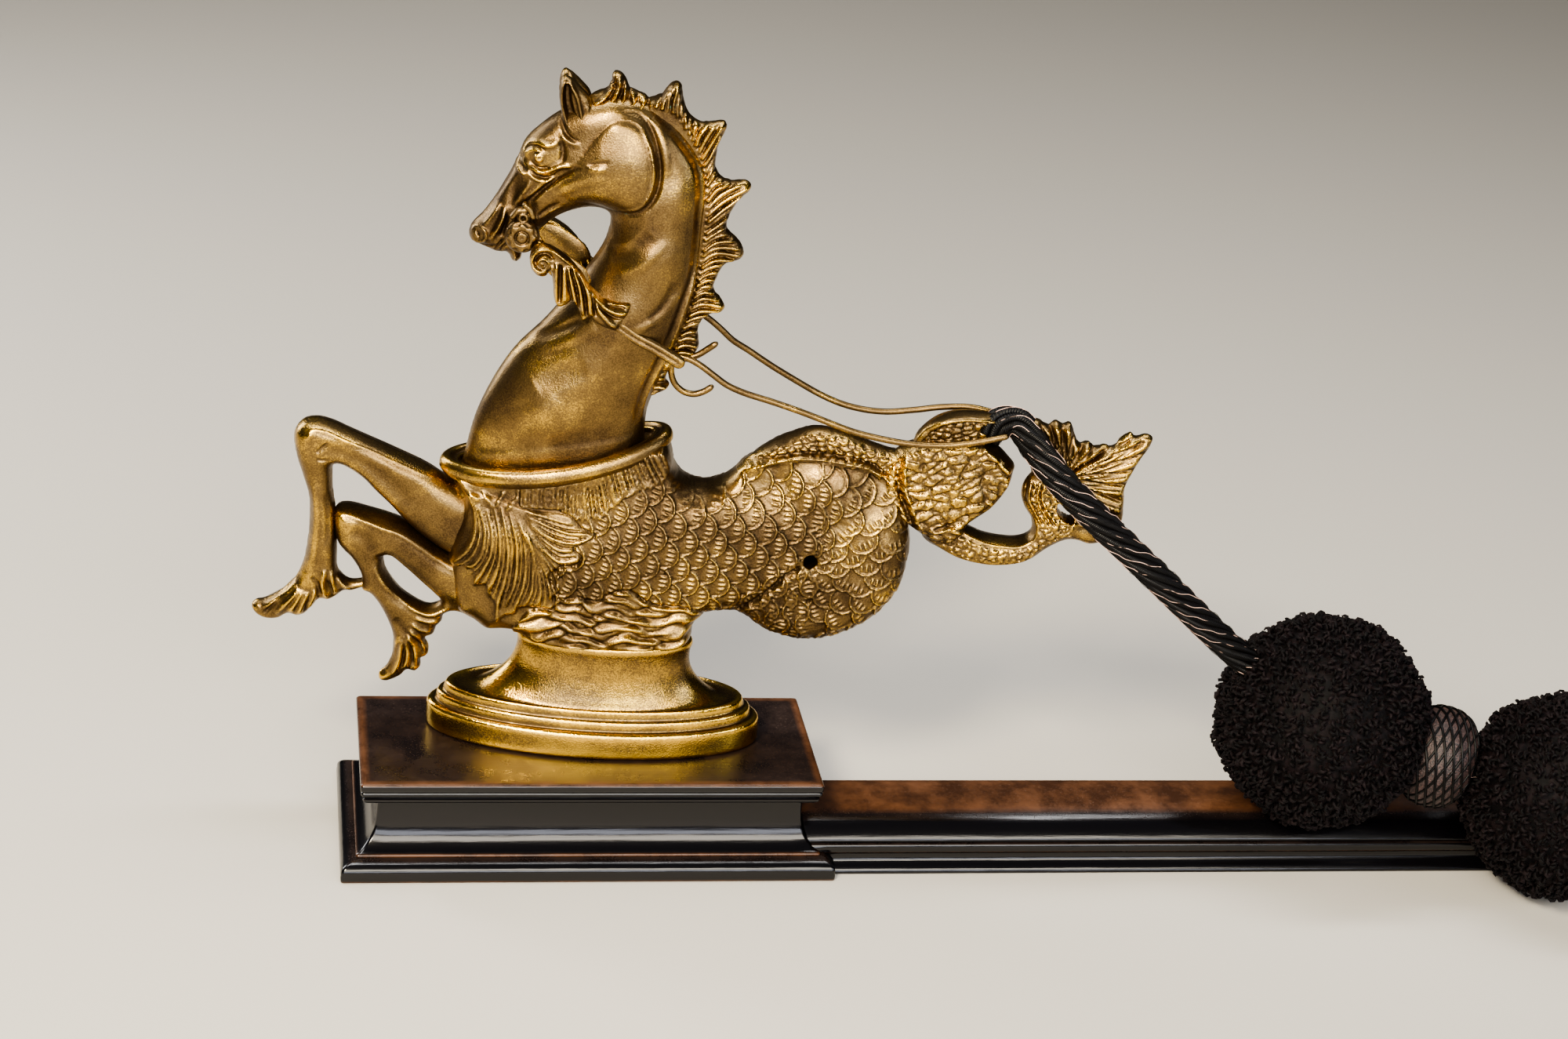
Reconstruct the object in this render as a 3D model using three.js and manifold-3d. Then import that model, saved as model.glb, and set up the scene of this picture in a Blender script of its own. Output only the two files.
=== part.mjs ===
// Sea-horse ornament of a gondola: a cast brass horse on its oval foot, the lacquered plinth that
// carries it, a stretch of moulded rail, and the silk cord with two wool pompoms tied to its reins.
// Millimetres, +Z up. +X runs along the boat's side from the horse's nose to its tail, and -Y faces
// the side that is looked at.
import * as THREE from 'three';
import { mergeVertices } from 'three/addons/utils/BufferGeometryUtils.js';
import Module from 'manifold-3d';

const wasm = await Module();
wasm.setup();

// Driving dimensions
const GAP = 0.3;
const PLINTH = { length: 181, depth: 72, height: 40 };
const RAIL = { length: 345, depth: 38, front: -2 };
const FOOT = { x: 93, y: 44.5, turnDegrees: -6, height: 41 };
const EAR_OFFSET = 4;
const CREST_THICKNESS = 8;
const BIT = { x: -39, z: 211, radius: 5.5, reach: 9, halfHeight: 3.5 };
const REIN_LEAF_PLACE = { y: 15, thickness: 7, strapY: 16 };
const COLLAR_RIM = {
  x: -21, halfLength: 42.5, halfDepth: 17.5, radius: 3.2, noseHeight: 113.5, rise: 17, dip: 4,
};
const DISC = { x: 84, z: 84.5, halfLength: 34.5, halfDepth: 12, halfHeight: 37.7 };
const DISC_HOLE = { x: 79.6, z: 86.5, radius: 2.3, drill: 60 };
const FLUKE_THICKNESS = 7;
const WIRE_RADIUS = 1.3;
const CORD_RADIUS = 5.9;
const POMPOM_1 = { x: 387, y: 13, z: 23, radius: 46 };
const POMPOM_2 = { x: 484, y: -16, z: 4.3, radius: 44 };
const NETTED_COLLAR = { radius: 20.5, length: 26, place: 0.475 };

const brass = new THREE.MeshStandardMaterial({ color: 0xb08a3c, roughness: 0.3, metalness: 1 });
const lacquer = new THREE.MeshStandardMaterial({ color: 0x14120f, roughness: 0.25, metalness: 0 });
const silk = new THREE.MeshStandardMaterial({ color: 0x141113, roughness: 0.6, metalness: 0 });
const wool = new THREE.MeshStandardMaterial({ color: 0x121013, roughness: 0.95, metalness: 0 });

// Solids and booleans
function solidOf(geometry) {
  const bare = geometry.clone();
  bare.deleteAttribute('normal');
  bare.deleteAttribute('uv');
  const merged = mergeVertices(bare, 1e-4);
  const solid = new wasm.Manifold(new wasm.Mesh({
    numProp: 3,
    vertProperties: new Float32Array(merged.attributes.position.array),
    triVerts: new Uint32Array(merged.index.array),
  }));
  return solid;
}

function geometryOf(solid) {
  const mesh = solid.getMesh();
  const geometry = new THREE.BufferGeometry();
  geometry.setAttribute('position', new THREE.BufferAttribute(new Float32Array(mesh.vertProperties), 3));
  geometry.setIndex(new THREE.BufferAttribute(new Uint32Array(mesh.triVerts), 1));
  return geometry;
}

function biggestPiece(solid) {
  const pieces = solid.decompose();
  return pieces.reduce((best, piece) => (piece.volume() > best.volume() ? piece : best), pieces[0]);
}

function joined(solids) {
  return solids.reduce((whole, solid) => whole.add(solid));
}

// A closed skin over rings of points: the ends are capped, or the last ring meets the first
function skin(rings, closed = false) {
  const sides = rings[0].length;
  const points = rings.flat();
  const faces = [];
  const spans = closed ? rings.length : rings.length - 1;
  for (let i = 0; i < spans; i += 1) {
    const here = i * sides;
    const next = ((i + 1) % rings.length) * sides;
    for (let j = 0; j < sides; j += 1) {
      const k = (j + 1) % sides;
      faces.push(here + j, here + k, next + k, here + j, next + k, next + j);
    }
  }
  if (!closed) {
    for (const [ring, turned] of [[0, true], [rings.length - 1, false]]) {
      const centre = points.length;
      const middle = new THREE.Vector3();
      rings[ring].forEach((point) => middle.addScaledVector(point, 1 / sides));
      points.push(middle);
      for (let j = 0; j < sides; j += 1) {
        const a = ring * sides + j;
        const b = ring * sides + ((j + 1) % sides);
        faces.push(...(turned ? [centre, b, a] : [centre, a, b]));
      }
    }
  }
  let volume = 0;
  for (let i = 0; i < faces.length; i += 3) {
    const [a, b, c] = faces.slice(i, i + 3).map((index) => points[index]);
    volume += a.dot(b.clone().cross(c));
  }
  if (volume < 0) {
    faces.reverse();
  }
  const geometry = new THREE.BufferGeometry();
  const numbers = points.flatMap((point) => point.toArray());
  geometry.setAttribute('position', new THREE.Float32BufferAttribute(numbers, 3));
  geometry.setIndex(faces);
  return solidOf(geometry);
}

// A rounded limb in the ornament's plane. Columns: x, z, half width in the plane, half depth in y
function limb(table, { grow = 0, y = 0, sides = 10, steps = 2 } = {}) {
  const centres = table.map(([x, z]) => new THREE.Vector3(x, 0, z));
  const line = new THREE.CatmullRomCurve3(centres, false, 'catmullrom');
  const halves = table.map(([, , width, depth]) => new THREE.Vector3(width, depth, 0));
  const sizes = new THREE.CatmullRomCurve3(halves, false, 'catmullrom');
  const count = (table.length - 1) * steps;
  const rings = [];
  for (let i = 0; i <= count; i += 1) {
    const t = i / count;
    const tangent = line.getTangent(t);
    const centre = line.getPoint(t);
    if (i === 0 || i === count) {
      centre.addScaledVector(tangent, i === 0 ? -grow : grow);
    }
    const size = sizes.getPoint(t);
    const across = new THREE.Vector3(-tangent.z, 0, tangent.x).normalize();
    const ring = [];
    for (let j = 0; j < sides; j += 1) {
      const angle = (j / sides) * 2 * Math.PI;
      const point = centre.clone().addScaledVector(across, (size.x + grow) * Math.cos(angle));
      point.y = y + (size.y + grow) * Math.sin(angle);
      ring.push(point);
    }
    rings.push(ring);
  }
  return skin(rings);
}

// A plate cut to an outline in the ornament's plane, with rounded edges. Columns: x, z
function plate(outline, { grow = 0, y = 0, thickness = 8, bevel = 1.5 } = {}) {
  const points = outline.map(([x, z]) => new THREE.Vector2(x, z));
  const geometry = new THREE.ExtrudeGeometry(new THREE.Shape(points), {
    depth: thickness - 2 * bevel + 2 * grow,
    bevelEnabled: true,
    bevelThickness: bevel,
    bevelSize: bevel,
    bevelOffset: grow - bevel,
    bevelSegments: 1,
    steps: 1,
  });
  geometry.translate(0, 0, bevel - thickness / 2 - grow);
  geometry.rotateX(Math.PI / 2);
  geometry.translate(0, y, 0);
  return solidOf(geometry);
}

// A stack of ovals. Columns: z, centre x, half length, half depth
function ovalStack(table, { grow = 0, sides = 32 } = {}) {
  return skin(table.map(([z, x, length, depth], row) => {
    const lift = (row === 0 ? -grow : 0) + (row === table.length - 1 ? grow : 0);
    return Array.from({ length: sides }, (_, j) => {
      const angle = (j / sides) * 2 * Math.PI;
      const along = (length + grow) * Math.cos(angle);
      const across = (depth + grow) * Math.sin(angle);
      return new THREE.Vector3(x + along, across, z + lift);
    });
  }));
}

// An ellipsoid
function ball({ x, y = 0, z, radii: [a, b, c] }, { grow = 0, around = 20, up = 12 } = {}) {
  const geometry = new THREE.SphereGeometry(1, around, up);
  geometry.scale(a + grow, b + grow, c + grow);
  geometry.translate(x, y, z);
  return solidOf(geometry);
}

// A round bar along a curve through points [x, y, z]
function bar(points, radius, { grow = 0, sides = 6, steps = 30 } = {}) {
  const stops = points.map(([x, y, z]) => new THREE.Vector3(x, y, z));
  const path = new THREE.CatmullRomCurve3(stops, false, 'centripetal');
  const section = new THREE.Shape(Array.from({ length: sides }, (_, j) => {
    const angle = (j / sides) * 2 * Math.PI;
    return new THREE.Vector2((radius + grow) * Math.cos(angle), (radius + grow) * Math.sin(angle));
  }));
  return solidOf(new THREE.ExtrudeGeometry(section, { steps, bevelEnabled: false, extrudePath: path }));
}

// A drilling rod through the ornament, along y
function rod(x, z, radius, length) {
  const geometry = new THREE.CylinderGeometry(radius, radius, length, 16);
  geometry.translate(x, 0, z);
  return solidOf(geometry);
}

// A block with the same moulding on its four sides. Columns: z, reach beyond the block's plan
function mouldedBlock(profile, { grow = 0 } = {}) {
  return skin(profile.map(([z, reach], row) => {
    const lift = (row === 0 ? -grow : 0) + (row === profile.length - 1 ? grow : 0);
    const out = reach + grow;
    const [x0, x1, y0, y1] = [-out, PLINTH.length + out, -out, PLINTH.depth + out];
    return [[x0, y0], [x1, y0], [x1, y1], [x0, y1]].map(([x, y]) => new THREE.Vector3(x, y, z + lift));
  }));
}

// A moulding run along x. Columns: y, z, counter-clockwise seen from the end at low x
function mouldingRun(profile, x0, length, { grow = 0 } = {}) {
  const shape = new THREE.Shape(profile.map(([y, z]) => new THREE.Vector2(y, z)));
  const geometry = new THREE.ExtrudeGeometry(shape, {
    depth: length + 2 * grow,
    bevelEnabled: grow > 0,
    bevelThickness: 0,
    bevelSize: grow,
    bevelSegments: 1,
    steps: 1,
  });
  geometry.rotateX(Math.PI / 2);
  geometry.rotateZ(Math.PI / 2);
  geometry.translate(x0 - grow, 0, 0);
  return solidOf(geometry);
}

const part = new THREE.Group();
const ornament = new THREE.Group();
ornament.position.set(FOOT.x, FOOT.y, PLINTH.height);
ornament.rotation.z = THREE.MathUtils.degToRad(FOOT.turnDegrees);
part.add(ornament);

function place(group, name, solid, material) {
  const mesh = new THREE.Mesh(geometryOf(solid), material);
  mesh.name = name;
  group.add(mesh);
}

// Each piece of the casting gives way to the pieces before it, by the gap
const placed = [];
function cast(name, make, material = brass) {
  const whole = placed.reduce((solid, other) => solid.subtract(other), make(0));
  placed.push(make(GAP));
  place(ornament, name, biggestPiece(whole), material);
}

// Neck and head: one casting from the foot of the neck to the muzzle
const NECK = [
  [-20, 94, 32, 12],
  [-20, 112, 36, 15],
  [-18.5, 135, 33, 16],
  [-9.5, 156, 29.5, 17],
  [1.5, 177, 25, 17],
  [8, 200, 21.5, 16],
  [12, 222, 18, 15],
  [8, 243, 17.5, 13],
  [-2, 255, 12, 10],
];
const HEAD = [
  [2, 240, 15, 12],
  [-6, 239.5, 19.5, 13.5],
  [-17, 237, 21, 13.5],
  [-30, 229, 15, 11],
  [-39, 221, 11.5, 8.5],
  [-47, 211.5, 9.5, 7.5],
  [-52.5, 205, 6, 5],
];
cast('neck_and_head', (grow) => joined([limb(NECK, { grow, sides: 12 }), limb(HEAD, { grow, sides: 12 })]));

// Ears, forelock and mane
const EAR = [[-20, 250, 5.2, 3], [-21.6, 258.6, 5.6, 3.2], [-24.6, 266.6, 3.4, 2.4], [-26.6, 272, 0.9, 0.9]];
for (const [side, y] of [['near', -EAR_OFFSET], ['far', EAR_OFFSET]]) {
  cast(`ear_${side}`, (grow) => limb(EAR, { grow, y, sides: 8 }));
}
const FORELOCK = [
  [-17, 258], [-16.5, 264], [-11, 267.5], [-9, 273], [-6, 273], [-3, 268.5], [3, 266], [2, 258],
];
cast('forelock', (grow) => plate(FORELOCK, { grow, thickness: CREST_THICKNESS }));
const MANE = [
  [4, 261], [4, 265.5], [9.5, 266.3], [13.4, 271], [15.4, 270.5], [18, 261.5], [20, 258.3], [24, 255.8],
  [33.6, 256.6], [32.4, 251], [30.4, 241.2], [30.2, 238], [35.4, 236.2], [44, 234], [41.4, 228],
  [36.8, 217.5], [37, 215], [43.6, 207.6], [41, 203], [34.4, 199], [33.4, 191], [38.2, 186], [38, 183],
  [31.4, 180], [29.8, 176.4], [30.4, 166.4], [20.5, 162], [19.6, 151], [10, 146], [15, 172], [23, 200],
  [23, 227], [16, 248],
];
cast('mane', (grow) => plate(MANE, { grow, thickness: CREST_THICKNESS }));

// Bridle: a boss at the mouth, and on each cheek a leaf that ends in a strap across the neck
const REIN_LEAF = [
  [-33.5, 210], [-28.5, 207.5], [-23.5, 206], [-16.5, 201.5], [-11.5, 195], [-6, 190], [2.5, 189],
  [-0.5, 179], [-10, 183], [-14.5, 181.5], [-19, 187.5], [-24.5, 187.5], [-26, 195.5], [-26.5, 201.5],
  [-30.5, 198.5], [-33.5, 199.5], [-35.5, 203.5],
];
const REIN_STRAP = [[0.6, 180.3, 2.6, 1.6], [11.5, 174, 2.4, 1.6], [21.5, 167.6, 2.2, 1.6]];
for (const [side, sign] of [['near', -1], ['far', 1]]) {
  cast(`bit_boss_${side}`, (grow) => {
    const radii = [BIT.radius, BIT.halfHeight, BIT.radius];
    return ball({ x: BIT.x, y: sign * BIT.reach, z: BIT.z, radii }, { grow, around: 12, up: 8 });
  });
  cast(`rein_leaf_${side}`, (grow) => plate(REIN_LEAF, {
    grow,
    y: sign * REIN_LEAF_PLACE.y,
    thickness: REIN_LEAF_PLACE.thickness,
  }));
  const strapY = sign * REIN_LEAF_PLACE.strapY;
  cast(`rein_strap_${side}`, (grow) => limb(REIN_STRAP, { grow, y: strapY, sides: 8 }));
}

// Rim of the collar, a round bead that climbs from the chest to the withers
function collarRim(grow) {
  const rings = Array.from({ length: 28 }, (_, i) => {
    const turn = (i / 28) * 2 * Math.PI;
    const out = new THREE.Vector3(Math.cos(turn), Math.sin(turn), 0);
    const climb = COLLAR_RIM.noseHeight + (COLLAR_RIM.rise * (1 + Math.cos(turn))) / 2;
    const centre = new THREE.Vector3(
      COLLAR_RIM.x + COLLAR_RIM.halfLength * out.x,
      COLLAR_RIM.halfDepth * out.y,
      climb - COLLAR_RIM.dip * out.y ** 2,
    );
    return Array.from({ length: 6 }, (__, j) => {
      const angle = (j / 6) * 2 * Math.PI;
      const radius = COLLAR_RIM.radius + grow;
      const point = centre.clone().addScaledVector(out, radius * Math.cos(angle));
      point.z += radius * Math.sin(angle);
      return point;
    });
  });
  return skin(rings, true);
}
cast('collar_rim', collarRim);

// Foot: an oval base with a stepped edge and a hollow sweep up to its waist
const FOOT_BASE = [
  [GAP, 0, 66, 25],
  [1.5, 0, 66.5, 25.5],
  [8, 0, 66.5, 25.5],
  [9.5, 0, 65, 24],
  [9.5, 0, 62.5, 22.5],
  [11, 0, 61.5, 21.8],
  [11, 0, 58, 20],
  [13, 0.3, 56.5, 19.5],
  [15.5, 0.6, 49, 17.8],
  [19.5, 1, 42, 16.2],
  [25, 1.6, 36.8, 15],
  [31, 2, 34.8, 14.5],
  [37, 2.4, 34, 14.8],
  [FOOT.height, 2.8, 34, 15.5],
];
cast('foot_base', (grow) => ovalStack(FOOT_BASE, { grow }));

// Body: a bed of waves on the foot, the leafy chest, the scaled flank and the curled tail
const WAVES = [[FOOT.height + GAP, 2, 33.5, 15], [45, 2, 36, 16.3], [50, 1, 36.5, 16.5], [57, -1, 33, 14]];
cast('wave_bed', (grow) => ovalStack(WAVES, { grow }));
const CHEST = [
  [-21, 122, 41, 15],
  [-21, 112, 41.5, 17],
  [-28, 95, 35, 18],
  [-35, 78, 27, 17.5],
  [-37, 62, 21, 16],
  [-31, 47, 14, 13],
];
cast('chest_leaf', (grow) => limb(CHEST, { grow, sides: 14 }));
const FLANK = [
  [-16, 80, 32, 15.5],
  [8, 85, 35.5, 17],
  [24, 85, 33, 16.5],
  [38, 83.5, 30, 15.5],
  [52, 85, 30, 14],
  [68, 85, 33, 12.5],
];
function scaledFlank(grow) {
  const radii = [DISC.halfLength, DISC.halfDepth, DISC.halfHeight];
  const body = joined([limb(FLANK, { grow, sides: 14 }), ball({ x: DISC.x, z: DISC.z, radii }, { grow })]);
  return body.subtract(rod(DISC_HOLE.x, DISC_HOLE.z, DISC_HOLE.radius - grow, DISC_HOLE.drill));
}
cast('scaled_flank', scaledFlank);
const BACK_RIDGE = [
  [38, 113, 3, 4],
  [47, 117.5, 4, 6],
  [60, 127, 6, 8],
  [79, 130, 8, 8],
  [98, 127, 8, 8],
  [112, 119, 10, 8],
];
cast('back_ridge', (grow) => limb(BACK_RIDGE, { grow }));
const TAIL_LOBE = [
  [114, 112, 19, 6],
  [124, 112.5, 21.5, 7.5],
  [136, 117, 17, 8],
  [147, 122, 11, 7],
  [154.5, 125, 4, 4],
];
cast('tail_lobe', (grow) => limb(TAIL_LOBE, { grow }));
const TAIL_CURL = [
  [117, 137.5, 1.5, 4], [126, 140.5, 4, 5], [135, 142.5, 5.5, 5.5], [143.2, 142.5, 3.5, 4],
];
cast('tail_curl', (grow) => limb(TAIL_CURL, { grow }));
const TAIL_BAND = [
  [121, 95, 3.5, 5],
  [132, 92.5, 4.5, 6.5],
  [146, 89.5, 5.3, 6.5],
  [160, 89.5, 5.5, 6],
  [171, 95, 6.5, 5.5],
  [174, 104, 6.5, 5],
  [169, 114, 6, 4.5],
  [167, 122, 4.5, 4],
];
const TAIL_ROOT = [[171, 97, 5, 5], [181, 100, 4.5, 4.5], [191, 100.5, 4.5, 4]];
cast('tail_band', (grow) => joined([limb(TAIL_BAND, { grow }), limb(TAIL_ROOT, { grow })]));
const FLUKE = [
  [168, 128], [161.5, 146], [165.5, 143.5], [169.5, 146.5], [173.5, 144.5], [176.5, 147], [179.5, 139],
  [184.5, 139.5], [188, 136], [193, 137.5], [200.5, 145], [204, 142], [209, 142.5], [201.5, 128.5],
  [200.5, 115.5], [200, 104], [188, 103], [178, 110],
];
cast('tail_fluke', (grow) => plate(FLUKE, { grow, thickness: FLUKE_THICKNESS }));

// Forelegs: one raised and bent, one reaching down in front of the foot
const RAISED_LEG = [
  [-56, 90, 17, 9.5],
  [-70, 98.5, 14.5, 9],
  [-84, 107.5, 10.5, 8.4],
  [-99, 117, 8, 8],
  [-112, 121, 8.4, 7.6],
  [-114, 111, 6.6, 6.6],
  [-110, 98, 5, 6.3],
  [-109.4, 84, 5.2, 6.2],
  [-110.4, 70, 6.8, 6],
  [-115, 59, 9, 6],
  [-125, 49.5, 5.6, 5],
  [-135.4, 47, 2.4, 3.4],
];
cast('raised_foreleg', (grow) => limb(RAISED_LEG, { grow }));
const LOWERED_LEG = [
  [-56, 56, 8, 8],
  [-65, 65, 10, 8.5],
  [-78, 78, 10, 8.5],
  [-91, 85, 8.5, 8],
  [-100, 84, 7.5, 7.5],
  [-96, 74, 6.5, 7],
  [-88, 63, 6.5, 6.5],
  [-80, 51, 7, 7],
  [-73.5, 40, 8, 8],
  [-76, 28, 6, 6.5],
  [-81.5, 20.5, 3, 4],
];
const LEG_WEB = [[-72, 47, 5, 5.5], [-58, 50, 4, 5], [-44, 47, 5, 6]];
cast('lowered_foreleg', (grow) => joined([limb(LOWERED_LEG, { grow }), limb(LEG_WEB, { grow })]));

// Reins of brass wire, from the end of the mane to the tail, and the hook between them
const WIRES = {
  rein_wire_near: [
    [21, -5, 163], [31, -7, 163.5], [43, -8, 157], [65, -8, 150.5], [96, -8, 139.8], [127, -8, 137.8],
    [151, -8, 142],
  ],
  rein_wire_far: [
    [26, 5, 180], [36, 7, 175], [48, 8, 166], [79, 8, 148.2], [104, 8, 142.6], [127, 8, 146.4],
    [138, 8, 147.2], [151, 8, 144.6],
  ],
  hook_wire: [[19, 0, 164], [19.5, 0, 156], [24, 0, 150.5], [31, 0, 149], [37, 0, 152.5]],
};
for (const [name, points] of Object.entries(WIRES)) {
  cast(name, (grow) => bar(points, WIRE_RADIUS, { grow, steps: 3 * (points.length - 1) }));
}

// Plinth: a top board with a beaded edge, a hollow moulding under it, and a base board
const TOP = PLINTH.height;
const TOP_BOARD = [
  [TOP - 9, -6], [TOP - 8.6, -1.4], [TOP - 7.4, -0.6], [TOP - 6, -1.2], [TOP - 5, -0.2], [TOP - 1, 0.2],
  [TOP, -0.6],
];
place(part, 'plinth_top_board', mouldedBlock(TOP_BOARD), lacquer);
const HOLLOW = [[8.3, 1], [9, 0], [12, -3.2], [16, -5.4], [22, -6.4], [TOP - 9.3, -6.6]];
place(part, 'plinth_hollow', mouldedBlock(HOLLOW), lacquer);
const BASE_BOARD = [[0, 7], [3, 7], [5, 6.6], [6.6, 5.4], [8, 3]];
place(part, 'plinth_base_board', mouldedBlock(BASE_BOARD), lacquer);

// Rail: a plain cove below and a rounded cap above, coped round the plinth's base
const railStart = PLINTH.length + 2 * GAP;
const y0 = RAIL.front;
const yBack = RAIL.front + RAIL.depth;
const RAIL_BASE = [
  [y0, 0], [y0 + 0.5, 2], [y0 + 3.5, 4.5], [y0 + 4, 8], [y0 + 2.5, 8.6], [y0 + 2.5, 12], [yBack, 12],
  [yBack, 0],
];
const RAIL_CAP = [
  [y0 + 4, 12.3], [y0 + 4.5, 14], [y0 + 7, 17], [y0 + 11, 19.6], [y0 + 16, 21.4], [y0 + 22, 22],
  [yBack, 22], [yBack, 12.3],
];
const boards = [BASE_BOARD, HOLLOW, TOP_BOARD];
const plinthBody = joined(boards.map((profile) => mouldedBlock(profile, { grow: GAP })));
function railRuns(grow) {
  return [RAIL_BASE, RAIL_CAP].map((profile) => mouldingRun(profile, railStart, RAIL.length, { grow }));
}
railRuns(0).forEach((run, index) => {
  place(part, ['rail_base', 'rail_cap'][index], run.subtract(plinthBody), lacquer);
});

// The origin is under the middle of what stands on the floor without its cord
part.updateMatrixWorld(true);
const middleOfPart = new THREE.Box3().setFromObject(part, true).getCenter(new THREE.Vector3());
part.position.set(-middleOfPart.x, -middleOfPart.y, 0);

// Cord and tassels. The cord leaves the two reins' ends, bends over and runs down to the pompoms.
// Columns: x, y, z in the ornament's frame
const CORD_ROUTE = [
  [144.5, 0, 139.5], [149, 0, 145], [155, -0.5, 145.5], [161, -4, 139.5], [167, -8.5, 133],
  [174, -11, 126], [183, -11.5, 117.5], [193, -11.5, 108.5], [206, -10.5, 97], [221, -8.5, 83.5],
  [236, -6, 69.5], [250, -3.5, 57], [262, -1.5, 47],
];
const wholeCord = bar(CORD_ROUTE, CORD_RADIUS, { sides: 8, steps: 26 });
const cord = placed.reduce((solid, other) => solid.subtract(other), wholeCord);
place(ornament, 'cord', biggestPiece(cord), silk);

// The pompoms and the netted collar between them stand in the plinth's frame
const turn = new THREE.Matrix4().makeRotationZ(-ornament.rotation.z);
const cordBody = bar(CORD_ROUTE, CORD_RADIUS, { grow: GAP, sides: 8, steps: 26 });
function inOrnament({ x, y, z }) {
  const point = new THREE.Vector3(x - FOOT.x, y - FOOT.y, z);
  return point.applyMatrix4(turn);
}
const first = inOrnament(POMPOM_1);
const second = inOrnament(POMPOM_2);
const along = second.clone().sub(first).normalize();
const middle = first.clone().lerp(second, NETTED_COLLAR.place);
function nettedCollar(grow) {
  const half = NETTED_COLLAR.length / 2 + grow;
  const r = NETTED_COLLAR.radius + grow;
  const profile = [[0, -half], [r * 0.62, -half], [r * 0.82, -half * 0.75], [r * 0.96, -half * 0.4], [r, 0],
    [r * 0.96, half * 0.4], [r * 0.82, half * 0.75], [r * 0.62, half], [0, half]];
  const geometry = new THREE.LatheGeometry(profile.map(([x, y]) => new THREE.Vector2(x, y)), 24);
  geometry.applyQuaternion(new THREE.Quaternion().setFromUnitVectors(new THREE.Vector3(0, 1, 0), along));
  geometry.translate(middle.x, middle.y, middle.z);
  return solidOf(geometry);
}
place(ornament, 'netted_collar', nettedCollar(0), silk);

// The pompoms press against the rail, which is cut out of them in the rail's own frame
const railSpace = railRuns(GAP).map((run) => run
  .translate([-FOOT.x, -FOOT.y, -PLINTH.height])
  .rotate([0, 0, -FOOT.turnDegrees]));
const pompoms = [['pompom_1', first, POMPOM_1.radius], ['pompom_2', second, POMPOM_2.radius]];
for (const [name, { x, y, z }, radius] of pompoms) {
  const whole = ball({ x, y, z, radii: [radius, radius, radius] }, { around: 20, up: 12 });
  const cuts = [nettedCollar(GAP), cordBody, ...railSpace];
  place(ornament, name, biggestPiece(cuts.reduce((solid, cut) => solid.subtract(cut), whole)), wool);
}

export default part;
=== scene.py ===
import math

import bmesh
import bpy
import numpy as np
from mathutils import Matrix, Vector, noise


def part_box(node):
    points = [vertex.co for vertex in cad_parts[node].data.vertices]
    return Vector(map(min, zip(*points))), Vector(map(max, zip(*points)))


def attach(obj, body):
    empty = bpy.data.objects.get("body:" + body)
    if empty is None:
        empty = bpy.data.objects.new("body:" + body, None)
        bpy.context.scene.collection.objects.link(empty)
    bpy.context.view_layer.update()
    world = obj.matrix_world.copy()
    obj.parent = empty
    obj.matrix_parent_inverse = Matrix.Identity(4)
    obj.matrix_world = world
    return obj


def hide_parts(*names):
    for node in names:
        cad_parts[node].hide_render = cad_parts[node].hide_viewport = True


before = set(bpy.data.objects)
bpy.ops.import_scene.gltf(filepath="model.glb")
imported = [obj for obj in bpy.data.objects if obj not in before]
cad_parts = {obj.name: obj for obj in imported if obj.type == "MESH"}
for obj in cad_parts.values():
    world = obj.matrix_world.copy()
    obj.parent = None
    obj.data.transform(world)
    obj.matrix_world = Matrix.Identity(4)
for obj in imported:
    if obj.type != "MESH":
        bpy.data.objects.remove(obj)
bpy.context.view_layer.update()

# The photographer's place. The camera looks down on the horse's near side from the bow end, and
# the boat leans a little, so the picture is rolled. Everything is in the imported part's own frame.
plinth_low, plinth_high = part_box("plinth_base_board")
PLINTH_MIDDLE = (plinth_low + plinth_high) / 2
CAMERA_FROM_PLINTH = Vector((-0.13231, -1.03370, 0.0))
CAMERA_HEIGHT = 0.62769
CAMERA_YAW, CAMERA_TILT, CAMERA_ROLL = -11.120, 65.098, 5.643
PHOTO_WIDTH, FOCAL_PIXELS, SENSOR = 2000, 3800, 36.0

view = bpy.data.cameras.new("camera")
view.sensor_width = SENSOR
view.lens = FOCAL_PIXELS / PHOTO_WIDTH * SENSOR
camera = bpy.data.objects.new("camera", view)
turned = Matrix.Rotation(math.radians(CAMERA_YAW), 4, "Z")
turned @= Matrix.Rotation(math.radians(CAMERA_TILT), 4, "X")
turned @= Matrix.Rotation(math.radians(CAMERA_ROLL), 4, "Z")
camera_place = PLINTH_MIDDLE + CAMERA_FROM_PLINTH
camera_place.z = CAMERA_HEIGHT
camera.matrix_world = Matrix.Translation(camera_place) @ turned
bpy.context.scene.collection.objects.link(camera)
bpy.context.scene.camera = camera


def linear(hex_colour):
    """An sRGB hex colour as the linear red, green, blue and alpha that a shader takes."""
    shares = [int(hex_colour[i:i + 2], 16) / 255 for i in (0, 2, 4)]
    return [c / 12.92 if c <= 0.04045 else ((c + 0.055) / 1.055) ** 2.4 for c in shares] + [1.0]


def fill(tree, node, inputs):
    """Fills a node's inputs. Each is a value, a socket to link, or a node, which stands for its
    first output."""
    for key, value in inputs.items():
        if isinstance(value, bpy.types.Node):
            value = value.outputs[0]
        if isinstance(value, bpy.types.NodeSocket):
            tree.links.new(value, node.inputs[key])
        else:
            node.inputs[key].default_value = value


def add(tree, kind, inputs=None, **settings):
    """Adds a node with its settings and its inputs."""
    made = tree.nodes.new(kind)
    for name, value in settings.items():
        setattr(made, name, value)
    fill(tree, made, inputs or {})
    return made


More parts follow.
